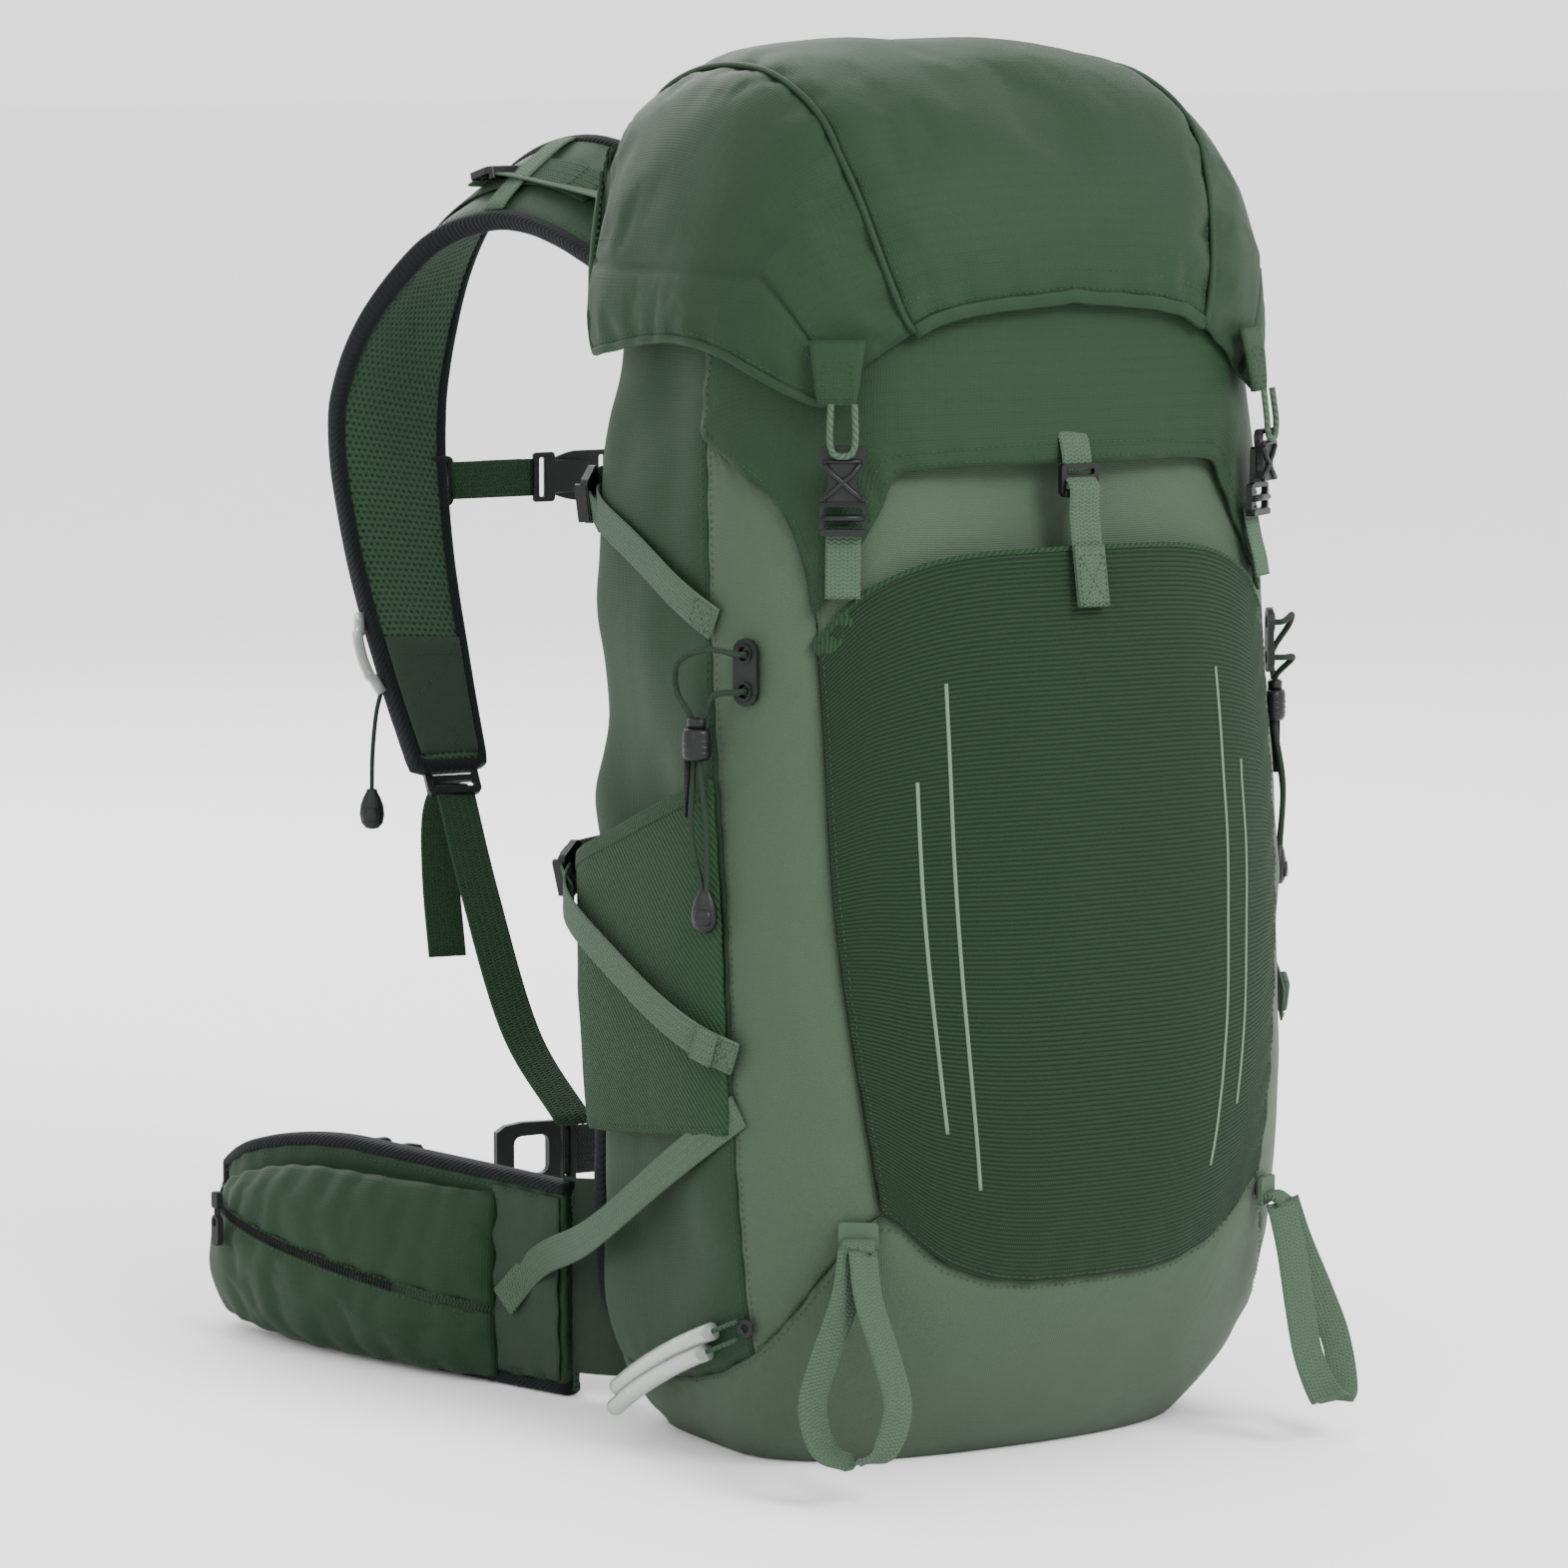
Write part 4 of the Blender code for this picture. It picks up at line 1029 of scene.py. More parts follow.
def make_lash_points():
    for side, sign in SIDES:
        place = stand(sign * 67.5, 0.349, 0.0036)
        outward, along = -place.col[1].xyz, place.col[0].xyz * sign
        m = Mould()
        holes = [rounded(0.0048, 0.0060, 0.0022, z=z) for z in (0.0080, -0.0080)]
        m.plate([rounded(0.012, 0.029, 0.0058), *holes], 0.0026, place, 0.0007)
        for z in (0.0080, -0.0080):
            m.plate(
                [rounded(0.0072, 0.0086, 0.0034, z=z), rounded(0.0050, 0.0062, 0.0024, z=z)], 0.0012,
                place @ Matrix.Translation((0, -0.0016, 0)), 0.0004
            )
        m.make(f"lash_keeper_{side}", ACETAL, "bag", [f"lash_plate_{side}"])
        hole = [place.translation + Vector((0, 0, z)) for z in (0.0080, -0.0080)]
        lock = Vector((sign * 0.1500, -0.040, 0.3195))
        pull = Vector((sign * 0.1495, -0.0455, 0.2465))
        high = [
            hole[0] - outward * 0.001, hole[0] + outward * 0.006,
            hole[0] + outward * 0.012 + along * 0.012 + Vector((0, 0, 0.002))
        ]
        high += [
            hole[0] + outward * 0.013 + along * 0.026 - Vector((0, 0, 0.004)),
            lock + along * 0.010 + Vector((0, 0, 0.020))
        ]
        high += [
            lock + along * 0.0022 + Vector((0, 0, 0.0075)), lock + along * 0.0018 - Vector((0, 0, 0.012))
        ]
        high += [
            lock.lerp(pull, 0.55) + along * 0.0030 + outward * 0.003,
            pull + along * 0.0008 + Vector((0, 0, 0.0085))
        ]
        tag = pull_tag(
            Matrix.Translation(pull) @ Matrix.Rotation(sign * radians(52), 4, "Z")
        ).make(f"lash_pull_tag_{side}", ACETAL, "bag")
        m = Mould()
        turned = Matrix.Translation(lock) @ Matrix.Rotation(sign * radians(48), 4, "Z")
        m.lathe(
            [
                (0, -0.0088), (0.0052, -0.0086), (0.0062, -0.0070), (0.0062, 0.0030), (0.0055, 0.0048),
                (0, 0.0050)
            ],
            turned, 22, 0.78
        )
        m.lathe(
            [(0, 0.0046), (0.0040, 0.0048), (0.0042, 0.0084), (0.0034, 0.0094), (0, 0.0095)], turned, 18,
            0.8
        )
        for z in (-0.0060, -0.0035, -0.0010):
            m.lathe([(0.0060, z), (0.0067, z + 0.0006), (0.0060, z + 0.0012)], turned, 22, 0.78)
        body = m.make(f"cord_lock_{side}", ACETAL, "bag")
        cord, length = cord_line(f"lash_cord_{side}", high, 0.00135, CORD_GREEN, 60)
        ride(cord, "bag")
        low = [
            hole[1] - outward * 0.001, hole[1] + outward * 0.006,
            hole[1] + outward * 0.012 + along * 0.008 - Vector((0, 0, 0.001))
        ]
        low += [
            lock - along * 0.0060 + Vector((0, 0, 0.0125)), lock - along * 0.0020 + Vector((0, 0, 0.0070)),
            lock - along * 0.0016 - Vector((0, 0, 0.012))
        ]
        low += [
            lock.lerp(pull, 0.5) - along * 0.0042 + outward * 0.002,
            pull - along * 0.0012 + Vector((0, 0, 0.0085))
        ]
        cord, length = cord_line(f"lash_return_{side}", low, 0.00135, CORD_GREEN, 60)
        ride(cord, "bag")
        path = [lock + along * 0.004 - Vector((0, 0, z)) for z in (0.006, 0.014, 0.024, 0.033)]
        bar(f"cord_lock_tab_{side}", smooth_line(path, 12), along, 0.0065, 0.0012, WEBBING_BLACK, "bag")


def make_pole_tube():
    ends = (
        (-0.1385, -0.053, 0.065), (-0.1465, -0.020, 0.050), (-0.1480, 0.012, 0.034),
        (-0.1455, 0.040, 0.0190)
    )
    for name, lift, nodes in (("pole_tube_upper", 0.0040, ["pole_tube"]), ("pole_tube_lower", -0.0040, ())):
        path = smooth_line([Vector(p) + Vector((0, 0, lift)) for p in ends], 30)
        path = path[4:-1] if lift > 0 else path[5:]
        bar(name, path, Vector((-1, 0, 0)), 0.0080, 0.0080, CLEAR, "bag", nodes, sides=16, power=2.0)
        core = smooth_line([Vector(p) + Vector((0, 0, lift)) for p in ends], 30)
        bar(
            f"{name}_elastic", core[0:-2], Vector((-1, 0, 0)), 0.0021, 0.0021, CORD_GREEN, "bag", sides=8,
            power=2.0
        )
    m = Mould()
    place = stand(-68, 0.066, 0.002)
    m.lathe(
        [(0.0016, 0.0), (0.0040, 0.0), (0.0044, 0.0008), (0.0036, 0.0016), (0.0018, 0.0014), (0.0016, 0.0)],
        place @ Matrix.Rotation(radians(90), 4, "X"), 20
    )
    m.make("pole_eyelet", ACETAL, "bag")


# ---------------------------------------------------------------- soft settling


def settle(obj, steps=12, pressure=1.5, cap=0.0030, swell=0.012, hold=None):
    """Swells a panel between its sewn edges by cloth simulation, and keeps the settled shape."""
    mesh = obj.data
    edges = bmesh.new()
    edges.from_mesh(mesh)
    fixed = {v.index for v in edges.verts if v.is_boundary or (hold and hold(v.co))}
    edges.free()
    copy = bpy.data.objects.new("settling", mesh.copy())
    bpy.context.scene.collection.objects.link(copy)
    group = copy.vertex_groups.new(name="sewn")
    group.add(list(fixed), 1.0, "REPLACE")
    cloth_step = copy.modifiers.new("cloth", "CLOTH")
    s = cloth_step.settings
    s.vertex_group_mass = "sewn"
    s.quality = 5
    s.mass = 0.25
    s.tension_stiffness = s.compression_stiffness = 18
    s.shear_stiffness = 8
    s.bending_stiffness = 0.6
    s.use_pressure = pressure != 0
    s.uniform_pressure_force = pressure
    s.shrink_min = -swell
    s.effector_weights.gravity = 0.0
    cloth_step.point_cache.frame_start, cloth_step.point_cache.frame_end = 1, steps
    scene = bpy.context.scene
    for frame_number in range(1, steps + 1):
        scene.frame_set(frame_number)
    bpy.context.view_layer.update()
    settled = copy.evaluated_get(bpy.context.evaluated_depsgraph_get()).data
    for vert, moved in zip(mesh.vertices, settled.vertices):
        step = moved.co - vert.co
        if step.length > cap:
            step *= cap / step.length
        vert.co += step
    scene.frame_set(1)
    old = copy.data
    bpy.data.objects.remove(copy)
    bpy.data.meshes.remove(old)
    mesh.update()
    return obj


def two_sided(obj, mat, sides):
    """Gives the inner half of a bar its own fabric."""
    obj.data.materials.append(mat)
    for face in obj.data.polygons:
        if len(face.vertices) == 4 and face.index % sides >= sides // 2:
            face.material_index = 1
    return obj


# ---------------------------------------------------------------- lid


def make_lid():
    rows = [[lid_top_point(across, along) for across in spread(-1, 1, 61)] for along in spread(0, 1, 61)]
    rows = dress(rows, tuck=0.0016, wrinkle=0.0034, scale=10, ripple=0.0004, seed=51)
    settle(skin("lid_crown", rows, RIPSTOP, "lid", ["lid_top"]), pressure=1.2, cap=0.0025)
    for side in "lr":
        stitch(inset(rows, side, 0.0042), "lid")
    stitch(inset(rows, "b", 0.004), "lid")
    stitch(inset(rows, "b", 0.012), "lid")
    ways = normals_of(rows)
    bar(
        "lid_front_hem", [p + w * 0.0006 for p, w in zip(rows[0], ways[0])], ways[0], 0.0060, 0.0030,
        RIPSTOP, "lid"
    )
    for side, sign in SIDES:
        rows = []
        for along in spread(0, 1, 81):
            line = [lid_side_point(sign, down, along) for down in spread(0, 1, 37)]
            rows.append(line if sign > 0 else line[::-1])
        rows = dress(rows, tuck=0.0014, wrinkle=0.0040, scale=11, ripple=0.0004, seed=57 + sign)
        seam = 25 if sign > 0 else 11
        for row in rows[2:]:
            row[seam] = row[seam] + (
                row[seam - 1].lerp(row[seam + 1], 0.5) - row[seam]
            ) + (Vector((0, 0, 0.53)) - row[seam]).normalized() * 0.0016
        settle(
            skin(f"lid_wall_{side}", rows, RIPSTOP, "lid", [f"lid_side_{side}"]), pressure=1.2, cap=0.0025
        )
        ways = normals_of(rows)
        for by in (-3, 3):
            stitch([row[seam + by] + way[seam + by] * 0.0005 for row, way in zip(rows, ways)], "lid")
        stitch(inset(rows, "r" if sign > 0 else "l", 0.004), "lid")
        edge = -1 if sign > 0 else 0
        bar(
            f"lid_hem_{side}", [row[edge] for row in rows], [way[edge] for way in ways], 0.0040, 0.0026,
            RIPSTOP, "lid", sides=10, power=3.0
        )
        path = [lid_top_point(sign, along) for along in spread(0, 1, 61)]
        bar(
            f"lid_piping_{side}", path, Vector((sign * 0.3, 0, 1)), 0.0030, 0.0030, RIPSTOP, "lid",
            sides=10, power=2.0
        )
        # The tab the buckle's cord is sewn into.
        wall = stand(sign * 52, 0.4275, 0.0125)
        outward, along = -wall.col[1].xyz, wall.col[0].xyz
        hem = oval(sign * 52, LID_HALF_WIDTH + LID_FLARE, LID_FRONT + LID_FLARE, LID_BACK)
        hem = Vector((hem.x, hem.y, 0.4655))
        path = [
            hem + outward * o + Vector((0, 0, z))
            for o, z in ((-0.0020, 0.024), (0.0004, 0.012), (0.0018, 0.002), (0.0022, -0.0035))
        ]
        path = smooth_line(path, 14)
        bar(
            f"lid_corner_tab_{side}", path, outward, [mix(0.024, 0.015, i / 13) for i in range(14)], 0.0026,
            RIPSTOP, "lid"
        )
        box_stitch(path, [outward] * 14, 0.015, 0.25, 0.95, "lid", lift=0.0016)
        place = wall
        hold, up = place.translation, Vector((0, 0, 1))
        top = hold + up * 0.0330 + outward * 0.0030
        loop = [
            top + along * 0.0050 + up * 0.003, hold + outward * 0.0048 + along * 0.0054 + up * 0.0230,
            hold + outward * 0.0050 + along * 0.0048 + up * 0.0175
        ]
        loop += [
            hold + outward * 0.0052 + along * 0.0030 + up * 0.0148, hold + outward * 0.0052 + up * 0.0142
        ]
        loop += [p - along * 2 * (p - hold).dot(along) for p in reversed(loop[:-1])]
        bar(
            f"lid_loop_{side}", smooth_line(loop, 41), outward, 0.0028, 0.0028, CORD, "lid",
            [f"lid_cord_{side}"], sides=12, power=2.0
        )
        half = (
            (0.0050, 0.0185), (0.0078, 0.0184), (0.0092, 0.0178), (0.0103, 0.0160), (0.0103, 0.0140),
            (0.0094, 0.0115), (0.0072, 0.0080), (0.0062, 0.0050)
        )
        half += (
            (0.0059, 0.0025), (0.0064, 0.0004), (0.0078, -0.0014), (0.0094, -0.0030), (0.0100, -0.0045)
        )
        outline = mirrored(half)
        slot = rounded(0.0125, 0.0034, 0.0014, z=0.0148)
        m = Mould()
        m.plate([outline, slot], 0.0030, place @ Matrix.Translation((0, -0.0020, 0)), 0.0007)
        for flip in (-1, 1):
            m.rod(
                [
                    place @ Vector((flip * x, -0.0040 + 0.0002 * abs(x) * 100, z))
                    for x, z in (
                        (0.0075, 0.0110), (0.0040, 0.0065), (0.0, 0.0032), (-0.0046, -0.0010),
                        (-0.0078, -0.0036)
                    )
                ],
                0.00115, 8
            )
        m.rod([place @ Vector((x, -0.0038, 0.0120)) for x in (-0.0080, -0.003, 0.003, 0.0080)], 0.0009, 8)
        m.make(f"lid_buckle_socket_{side}", ACETAL, "lid", [f"lid_socket_{side}"])
        half = (
            (0.0045, 0.0105), (0.0056, 0.0096), (0.0062, 0.0075), (0.0064, -0.0052), (0.0092, -0.0056),
            (0.0100, -0.0070), (0.0102, -0.0165), (0.0094, -0.0188)
        )
        outline = mirrored(half)
        slots = [rounded(0.0160, 0.0032, 0.0012, z=z) for z in (-0.0090, -0.0150)]
        m = Mould()
        m.plate([outline, *slots], 0.0028, place @ Matrix.Translation((0, 0.0014, 0)), 0.0006)
        m.rod([place @ Vector((x, -0.0004, -0.0120)) for x in (-0.0085, 0.0, 0.0085)], 0.0014, 8)
        m.plate(
            [rounded(0.0190, 0.0028, 0.0010, z=-0.0182)], 0.0044,
            place @ Matrix.Translation((0, 0.0010, 0)), 0.0007
        )
        m.make(f"lid_buckle_plug_{side}", ACETAL, f"lid_plug_{side}", [f"lid_plug_{side}"])
        stops = (
            (-0.0048, -0.0160), (-0.0040, -0.0215), (-0.0022, -0.030), (0.0000, -0.038), (0.0014, -0.046)
        )
        path = smooth_line([hold + outward * o + up * z for o, z in stops], 14)
        web = bar(
            f"lid_web_{side}", path, outward, 0.015, 0.0015, WEBBING_SAGE, "bag", [f"lid_webbing_{side}"]
        )
        web.parent = None
        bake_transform(web)
    turns = spread(-180, 180, 73)[:-1]
    rim = [oval(t, 0.116, 0.080, 0.083) for t in turns]
    rows = [
        [Vector((p.x * s, p.y * s, 0.541 + 0.004 * (1 - s))) for p in rim]
        for s in (1.0, 0.85, 0.7, 0.5, 0.35)
    ]
    skin("lid_lining", rows, LINING, "lid", ["lid_base"], closed=True, cap=True, offset=1.0)
    # The hinge fold: the lid is sewn to the bag's back along a strip of its own fabric.
    turns = spread(133, 227, 60)
    rows = [
        [bag_point(t, z, out) for t in turns]
        for z, out in ((0.528, 0.0006), (0.536, 0.0016), (0.544, 0.0030))
    ]
    for z, grow in ((0.553, -0.006), (0.562, -0.003), (0.572, -0.0035)):
        rows.append(
            [
                Vector((p.x, p.y, z))
                for p in (oval(t, LID_HALF_WIDTH + grow, LID_FRONT, LID_BACK + grow) for t in turns)
            ]
        )
    fold = skin("lid_hinge_fold", rows, RIPSTOP, "bag", thickness=0)
    fold.parent = None
    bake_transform(fold)


def make_front_buckle():
    place = stand(0, 0.4290, 0.0062)
    slots = [rounded(0.0145, 0.0026, 0.0010, z=z) for z in (0.0032, -0.0030)]
    m = Mould()
    m.plate([rounded(0.0190, 0.0135, 0.0020), *slots], 0.0030, place, 0.0006)
    m.plate(
        [rounded(0.0175, 0.0030, 0.0012, z=-0.0060)], 0.0050, place @ Matrix.Translation((0, -0.0010, 0)),
        0.0008
    )
    m.make("front_ladder_lock", ACETAL, "bag", ["front_buckle"])
    stops = (
        (0.4300, 0.0064), (0.4265, 0.0105), (0.4220, 0.0104), (0.4150, 0.0092), (0.4060, 0.0094),
        (0.3900, 0.0100), (0.3755, 0.0104)
    )
    path = smooth_line([(0, bag_point(0, z).y - out, z) for z, out in stops], 26)
    bar("front_web", path, Vector((0, -1, 0)), 0.0155, 0.0015, WEBBING_SAGE, "bag", ["front_webbing"])
    path = [p + Vector((0, -0.0014, 0)) for p in path[-8:]]
    bar("front_web_fold", path, Vector((0, -1, 0)), 0.0155, 0.0022, WEBBING_SAGE, "bag")
    box_stitch(path, [Vector((0, -1, 0))] * len(path), 0.0155, 0.15, 0.95, "bag", lift=0.0014)
    up = smooth_line(
        [
            (0, bag_point(0, z).y - out, z)
            for z, out in ((0.4505, 0.0018), (0.4440, 0.0046), (0.4350, 0.0060), (0.4325, 0.0052))
        ],
        12
    )
    bar("front_buckle_anchor", up, Vector((0, -1, 0)), 0.0150, 0.0015, WEBBING_SAGE, "bag")


# ---------------------------------------------------------------- harness


def frames_of(path, sign):
    """For each point of a shoulder strap: the way across it, and the way its outer face looks."""
    made = []
    for i in range(len(path)):
        run = heading(path, i)
        across = (Vector((1, 0, 0)) - run * run.x).normalized()
        lean = radians(profile(STRAP_LEAN, i / (len(path) - 1) * 24))
        across = across * cos(lean) + run.cross(across) * sin(lean) * sign
        made.append((across, across.cross(run)))
    return made


def make_harness():
    fine = 121
    for side, sign in SIDES:
        path = smooth_line(strap_path(sign), fine)
        outs = frames_of(path, sign)
        at = [i / (fine - 1) * 24 for i in range(fine)]
        width = [
            STRAP_WIDTH * mix(0.86, 1.0, min(1.0, a / 5)) * mix(1.0, 0.62, max(0.0, (a - 16) / 8))
            for a in at
        ]
        thick = [STRAP_THICKNESS + 0.0006 + 0.0010 * sin(a * 5.3) * exp(-abs(a - 12) / 9) * 0.4 for a in at]
        facings = [o for _, o in outs]
        pad = bar(
            f"strap_pad_{side}", path, facings, [w - 0.0050 for w in width], thick, RIPSTOP, "bag",
            [f"shoulder_strap_{side}"], sides=32, power=4.0
        )
        two_sided(pad, SPACER, 32)
        for vert in pad.data.vertices:
            n = noise.noise(vert.co * 38 + Vector((sign, 0, 0)))
            vert.co += Vector((0, 0, 0.0006 * n))
        rim = []
        for flip in (1, -1):
            line = [p + a * flip * (w / 2 - 0.0030) for p, (a, _), w in zip(path, outs, width)]
            rim.append(line)
        tip = path[-1] + (path[-1] - path[-4]).normalized() * 0.0015
        ring = [
            *rim[0], tip + (rim[0][-1] - path[-1]) * 0.7, tip, tip + (rim[1][-1] - path[-1]) * 0.7,
            *reversed(rim[1])
        ]
        faces = [*facings, facings[-1], facings[-1], facings[-1], *reversed(facings)]
        bar(
            f"strap_binding_{side}", ring, faces, 0.0062, [STRAP_THICKNESS + 0.0012] * len(ring), BINDING,
            "bag", sides=14, power=3.0
        )
        for flip in (1, -1):
            for inner in (1, -1):
                line = [
                    p + a * flip * (w / 2 - 0.0072) + o * inner * (t / 2 + 0.0001)
                    for p, (a, o), w, t in zip(path, outs, width, thick)
                ]
                stitch(line, "bag", pitch=0.0038)
        # The patch at the strap's tip, with its zig-zag seam, on both faces.
        for inner in (1, -1):
            low = path[104:120]
            o = [facings[i] for i in range(104, 120)]
            line = [p + f * inner * 0.0050 for p, f in zip(low, o)]
            bar(
                f"strap_patch_{side}_{'outer' if inner > 0 else 'inner'}", line, o,
                [width[i] - 0.010 for i in range(104, 120)], 0.0014, STRETCH_SAGE, "bag"
            )
            zig = []
            for k, share in enumerate((0.1, 0.1, 0.5, 0.9, 0.9)):
                i = round(share * 15)
                a = outs[104 + i][0]
                zig.append(
                    line[i] + a * (1 if k in (1, 3) else -1) * (width[104 + i] / 2 - 0.009)
                    + o[i] * inner * 0.0009
                )
            stitch(zig, "bag", pitch=0.0028)
        # Webbing along the outer face, a sewn bar near the crest, and the load lifter to the bag's top.
        run = range(30, 108)
        line = [path[i] + facings[i] * 0.0060 for i in run]
        bar(f"strap_daisy_{side}", line, [facings[i] for i in run], 0.0195, 0.0014, WEBBING_GREEN, "bag")
        for i in (34, 46, 58, 70, 82, 94, 104):
            a, o = outs[i]
            stitch(
                [path[i] + o * 0.0069 + a * x for x in (-0.009, 0.009)], "bag", pitch=0.0022, radius=0.0004
            )
        i = 42
        a, o = outs[i]
        line = [
            path[i] + a * x + o * (0.0074 - 0.0022 * abs(x / 0.027) ** 4)
            for x in spread(-0.0275, 0.0275, 12)
        ]
        bar(f"strap_cross_bar_{side}", line, o, 0.0150, 0.0016, WEBBING_SAGE, "bag")
        root = bag_point(sign * 150, 0.535, 0.0015)
        top = path[46] + facings[46] * 0.0085
        line = smooth_line(
            [
                root - Vector((0, 0, 0.012)), root, root.lerp(top, 0.35) - Vector((0, 0, 0.002)),
                root.lerp(top, 0.7), top, path[50] + facings[50] * 0.0078
            ],
            30
        )
        bar(f"load_lifter_{side}", line, Vector((0, 0.25, 1)), 0.0150, 0.0015, WEBBING_SAGE, "bag")
        way = Matrix.Translation(
            path[47] + facings[47] * 0.0100
        ) @ (path[48] - path[46]).to_track_quat("Z", "Y").to_matrix().to_4x4()
        ladder(way, 0.0200, 0.0160, 0.0148).make(f"lifter_lock_{side}", ACETAL, "bag")
        if sign < 0:
            line = []
            for k in spread(101, 110, 12):
                i = round(k)
                a, o = outs[i]
                line.append(
                    path[i] - a * (width[i] / 2 + 0.0012 + 0.0050 * sin(pi * (k - 101) / 9)) + o * 0.001
                )
            bar(
                "bite_loop_tube", line, Vector((0, 1, 0)), 0.0052, 0.0052, CLEAR, "bag", sides=14, power=2.0
            )
            drop = line[-1] + Vector((-0.001, 0, 0))
            route = [
                drop, drop + Vector((-0.002, 0.001, -0.010)), drop + Vector((-0.0035, 0.002, -0.028)),
                drop + Vector((-0.0040, 0.002, -0.046))
            ]
            tag = pull_tag(
                Matrix.Translation(
                    route[-1] - Vector((0, 0, 0.0085))
                ) @ Matrix.Rotation(radians(-40), 4, "Z")
            ).make("bite_loop_tag", ACETAL, "bag")
            cord, length = cord_line("bite_loop_cord", route, 0.0011, CORD_GREEN, 20)
            ride(cord, "bag")
        # Lower adjuster.
        stops = (
            (0.109, 0.256, 0.266), (0.114, 0.222, 0.220), (0.120, 0.172, 0.162), (0.1215, 0.118, 0.128)
        )
        line = smooth_line([(sign * x, y, z) for x, y, z in stops], 30)
        facing = Vector((0, 0.75, -0.65))
        bar(
            f"lower_web_{side}", line, facing, 0.020, 0.0015, WEBBING_GREEN, "bag",
            [f"lower_webbing_{side}"]
        )
        box_stitch(line, [facing] * 30, 0.020, 0.90, 0.99, "bag")
        run = (line[1] - line[0]).normalized()
        place = Matrix.Translation(
            Vector((sign * 0.109, 0.2585, 0.2700))
        ) @ run.to_track_quat("Z", "Y").to_matrix().to_4x4()
        ladder(place, 0.0265, 0.0190, 0.0205).make(f"strap_lock_{side}", ACETAL, "bag")
        tail = smooth_line(
            [
                line[0] + Vector((0, 0.004, 0.001)), line[0] + Vector((sign * 0.002, 0.010, -0.016)),
                line[0] + Vector((sign * 0.004, 0.006, -0.045)),
                line[0] + Vector((sign * 0.005, -0.002, -0.080))
            ],
            20
        )
        bar(f"lower_web_tail_{side}", tail, Vector((0, 1, 0.1)), 0.020, 0.0014, WEBBING_GREEN, "bag")
        # Sternum strap.
        line = [Vector((sign * x, 0.3380, 0.402)) for x in spread(0.0205, 0.066, 16)]
        bar(
            f"sternum_web_{side}", line, Vector((0, 1, 0)), 0.018, 0.0014, WEBBING_GREEN, "bag",
            [f"sternum_webbing_{side}"]
        )
        line = [p + Vector((0, 0.0017, 0)) for p in line[2:10]]
        bar(f"sternum_fold_{side}", line, Vector((0, 1, 0)), 0.018, 0.0013, WEBBING_GREEN, "bag")
        slide = Matrix.Translation((sign * 0.071, 0.3390, 0.402)) @ Matrix.Rotation(radians(90), 4, "Y")
        Mould().plate(
            [rounded(0.024, 0.013, 0.003), rounded(0.019, 0.003, 0.001, z=0.002)], 0.0030, slide, 0.0006
        ).make(f"sternum_slide_{side}", ACETAL, "bag")
    place = Matrix.Translation((0, 0.3380, 0.402)) @ Matrix.Rotation(radians(90), 4, "Y")
    half = (
        (0.0112, 0.0218), (0.0120, 0.0208), (0.0120, 0.0020), (0.0112, -0.0020), (0.0100, -0.0060),
        (0.0090, -0.0085)
    )
    outline = mirrored(half)
    m = Mould()
    m.plate(
        [outline, rounded(0.0190, 0.0030, 0.0010, z=0.0175)], 0.0024,
        place @ Matrix.Translation((0, 0.0016, 0)), 0.0006
    )
    m.plate(
        [rounded(0.0105, 0.0120, 0.0020, z=0.0045)], 0.0012, place @ Matrix.Translation((0, 0.0034, 0)),
        0.0004
    )
    m.rod([place @ Vector((-0.0085, 0.0030, z)) for z in (-0.0050, 0.0, 0.0120)], 0.0014, 10)
    m.make("sternum_buckle_socket", ACETAL, "bag", ["sternum_socket"])
    half = (
        (0.0055, 0.0092), (0.0070, 0.0086), (0.0078, 0.0020), (0.0080, -0.0095), (0.0112, -0.0100),
        (0.0120, -0.0112), (0.0120, -0.0205), (0.0112, -0.0216)
    )
    outline = mirrored(half)
    m = Mould()
    m.plate(
        [outline, rounded(0.0190, 0.0030, 0.0010, z=-0.0170)], 0.0024,
        place @ Matrix.Translation((0, -0.0012, 0)), 0.0006
    )
    m.make("sternum_buckle_plug", ACETAL, "bag", ["sternum_plug"])


def make_haul_loop():
    arc = [(0.036 * cos(a), 0.030 * sin(a) ** 0.8) for a in spread(0, pi, 49)]
    path = [Vector((x, BACK_REACH + 0.0065 + 0.25 * z, 0.512 + z)) for x, z in arc]
    facings = []
    for i in range(49):
        run = heading(path, i)
        across = (Vector((0, 1, 0)) - run * run.y).normalized()
        facings.append(across.cross(run))
    bar("haul_loop_web", path, facings, 0.0100, 0.0024, WEBBING_BLACK, "haul_loop", ["haul_loop"])
    for sign in (-1, 1):
        line = [Vector((sign * 0.036, BACK_REACH + 0.0052, z)) for z in spread(0.488, 0.511, 8)]
        bar(
            f"haul_loop_root_{'left' if sign < 0 else 'right'}", line, Vector((0, 1, 0)), 0.0100, 0.0022,
            WEBBING_BLACK, "bag"
        )


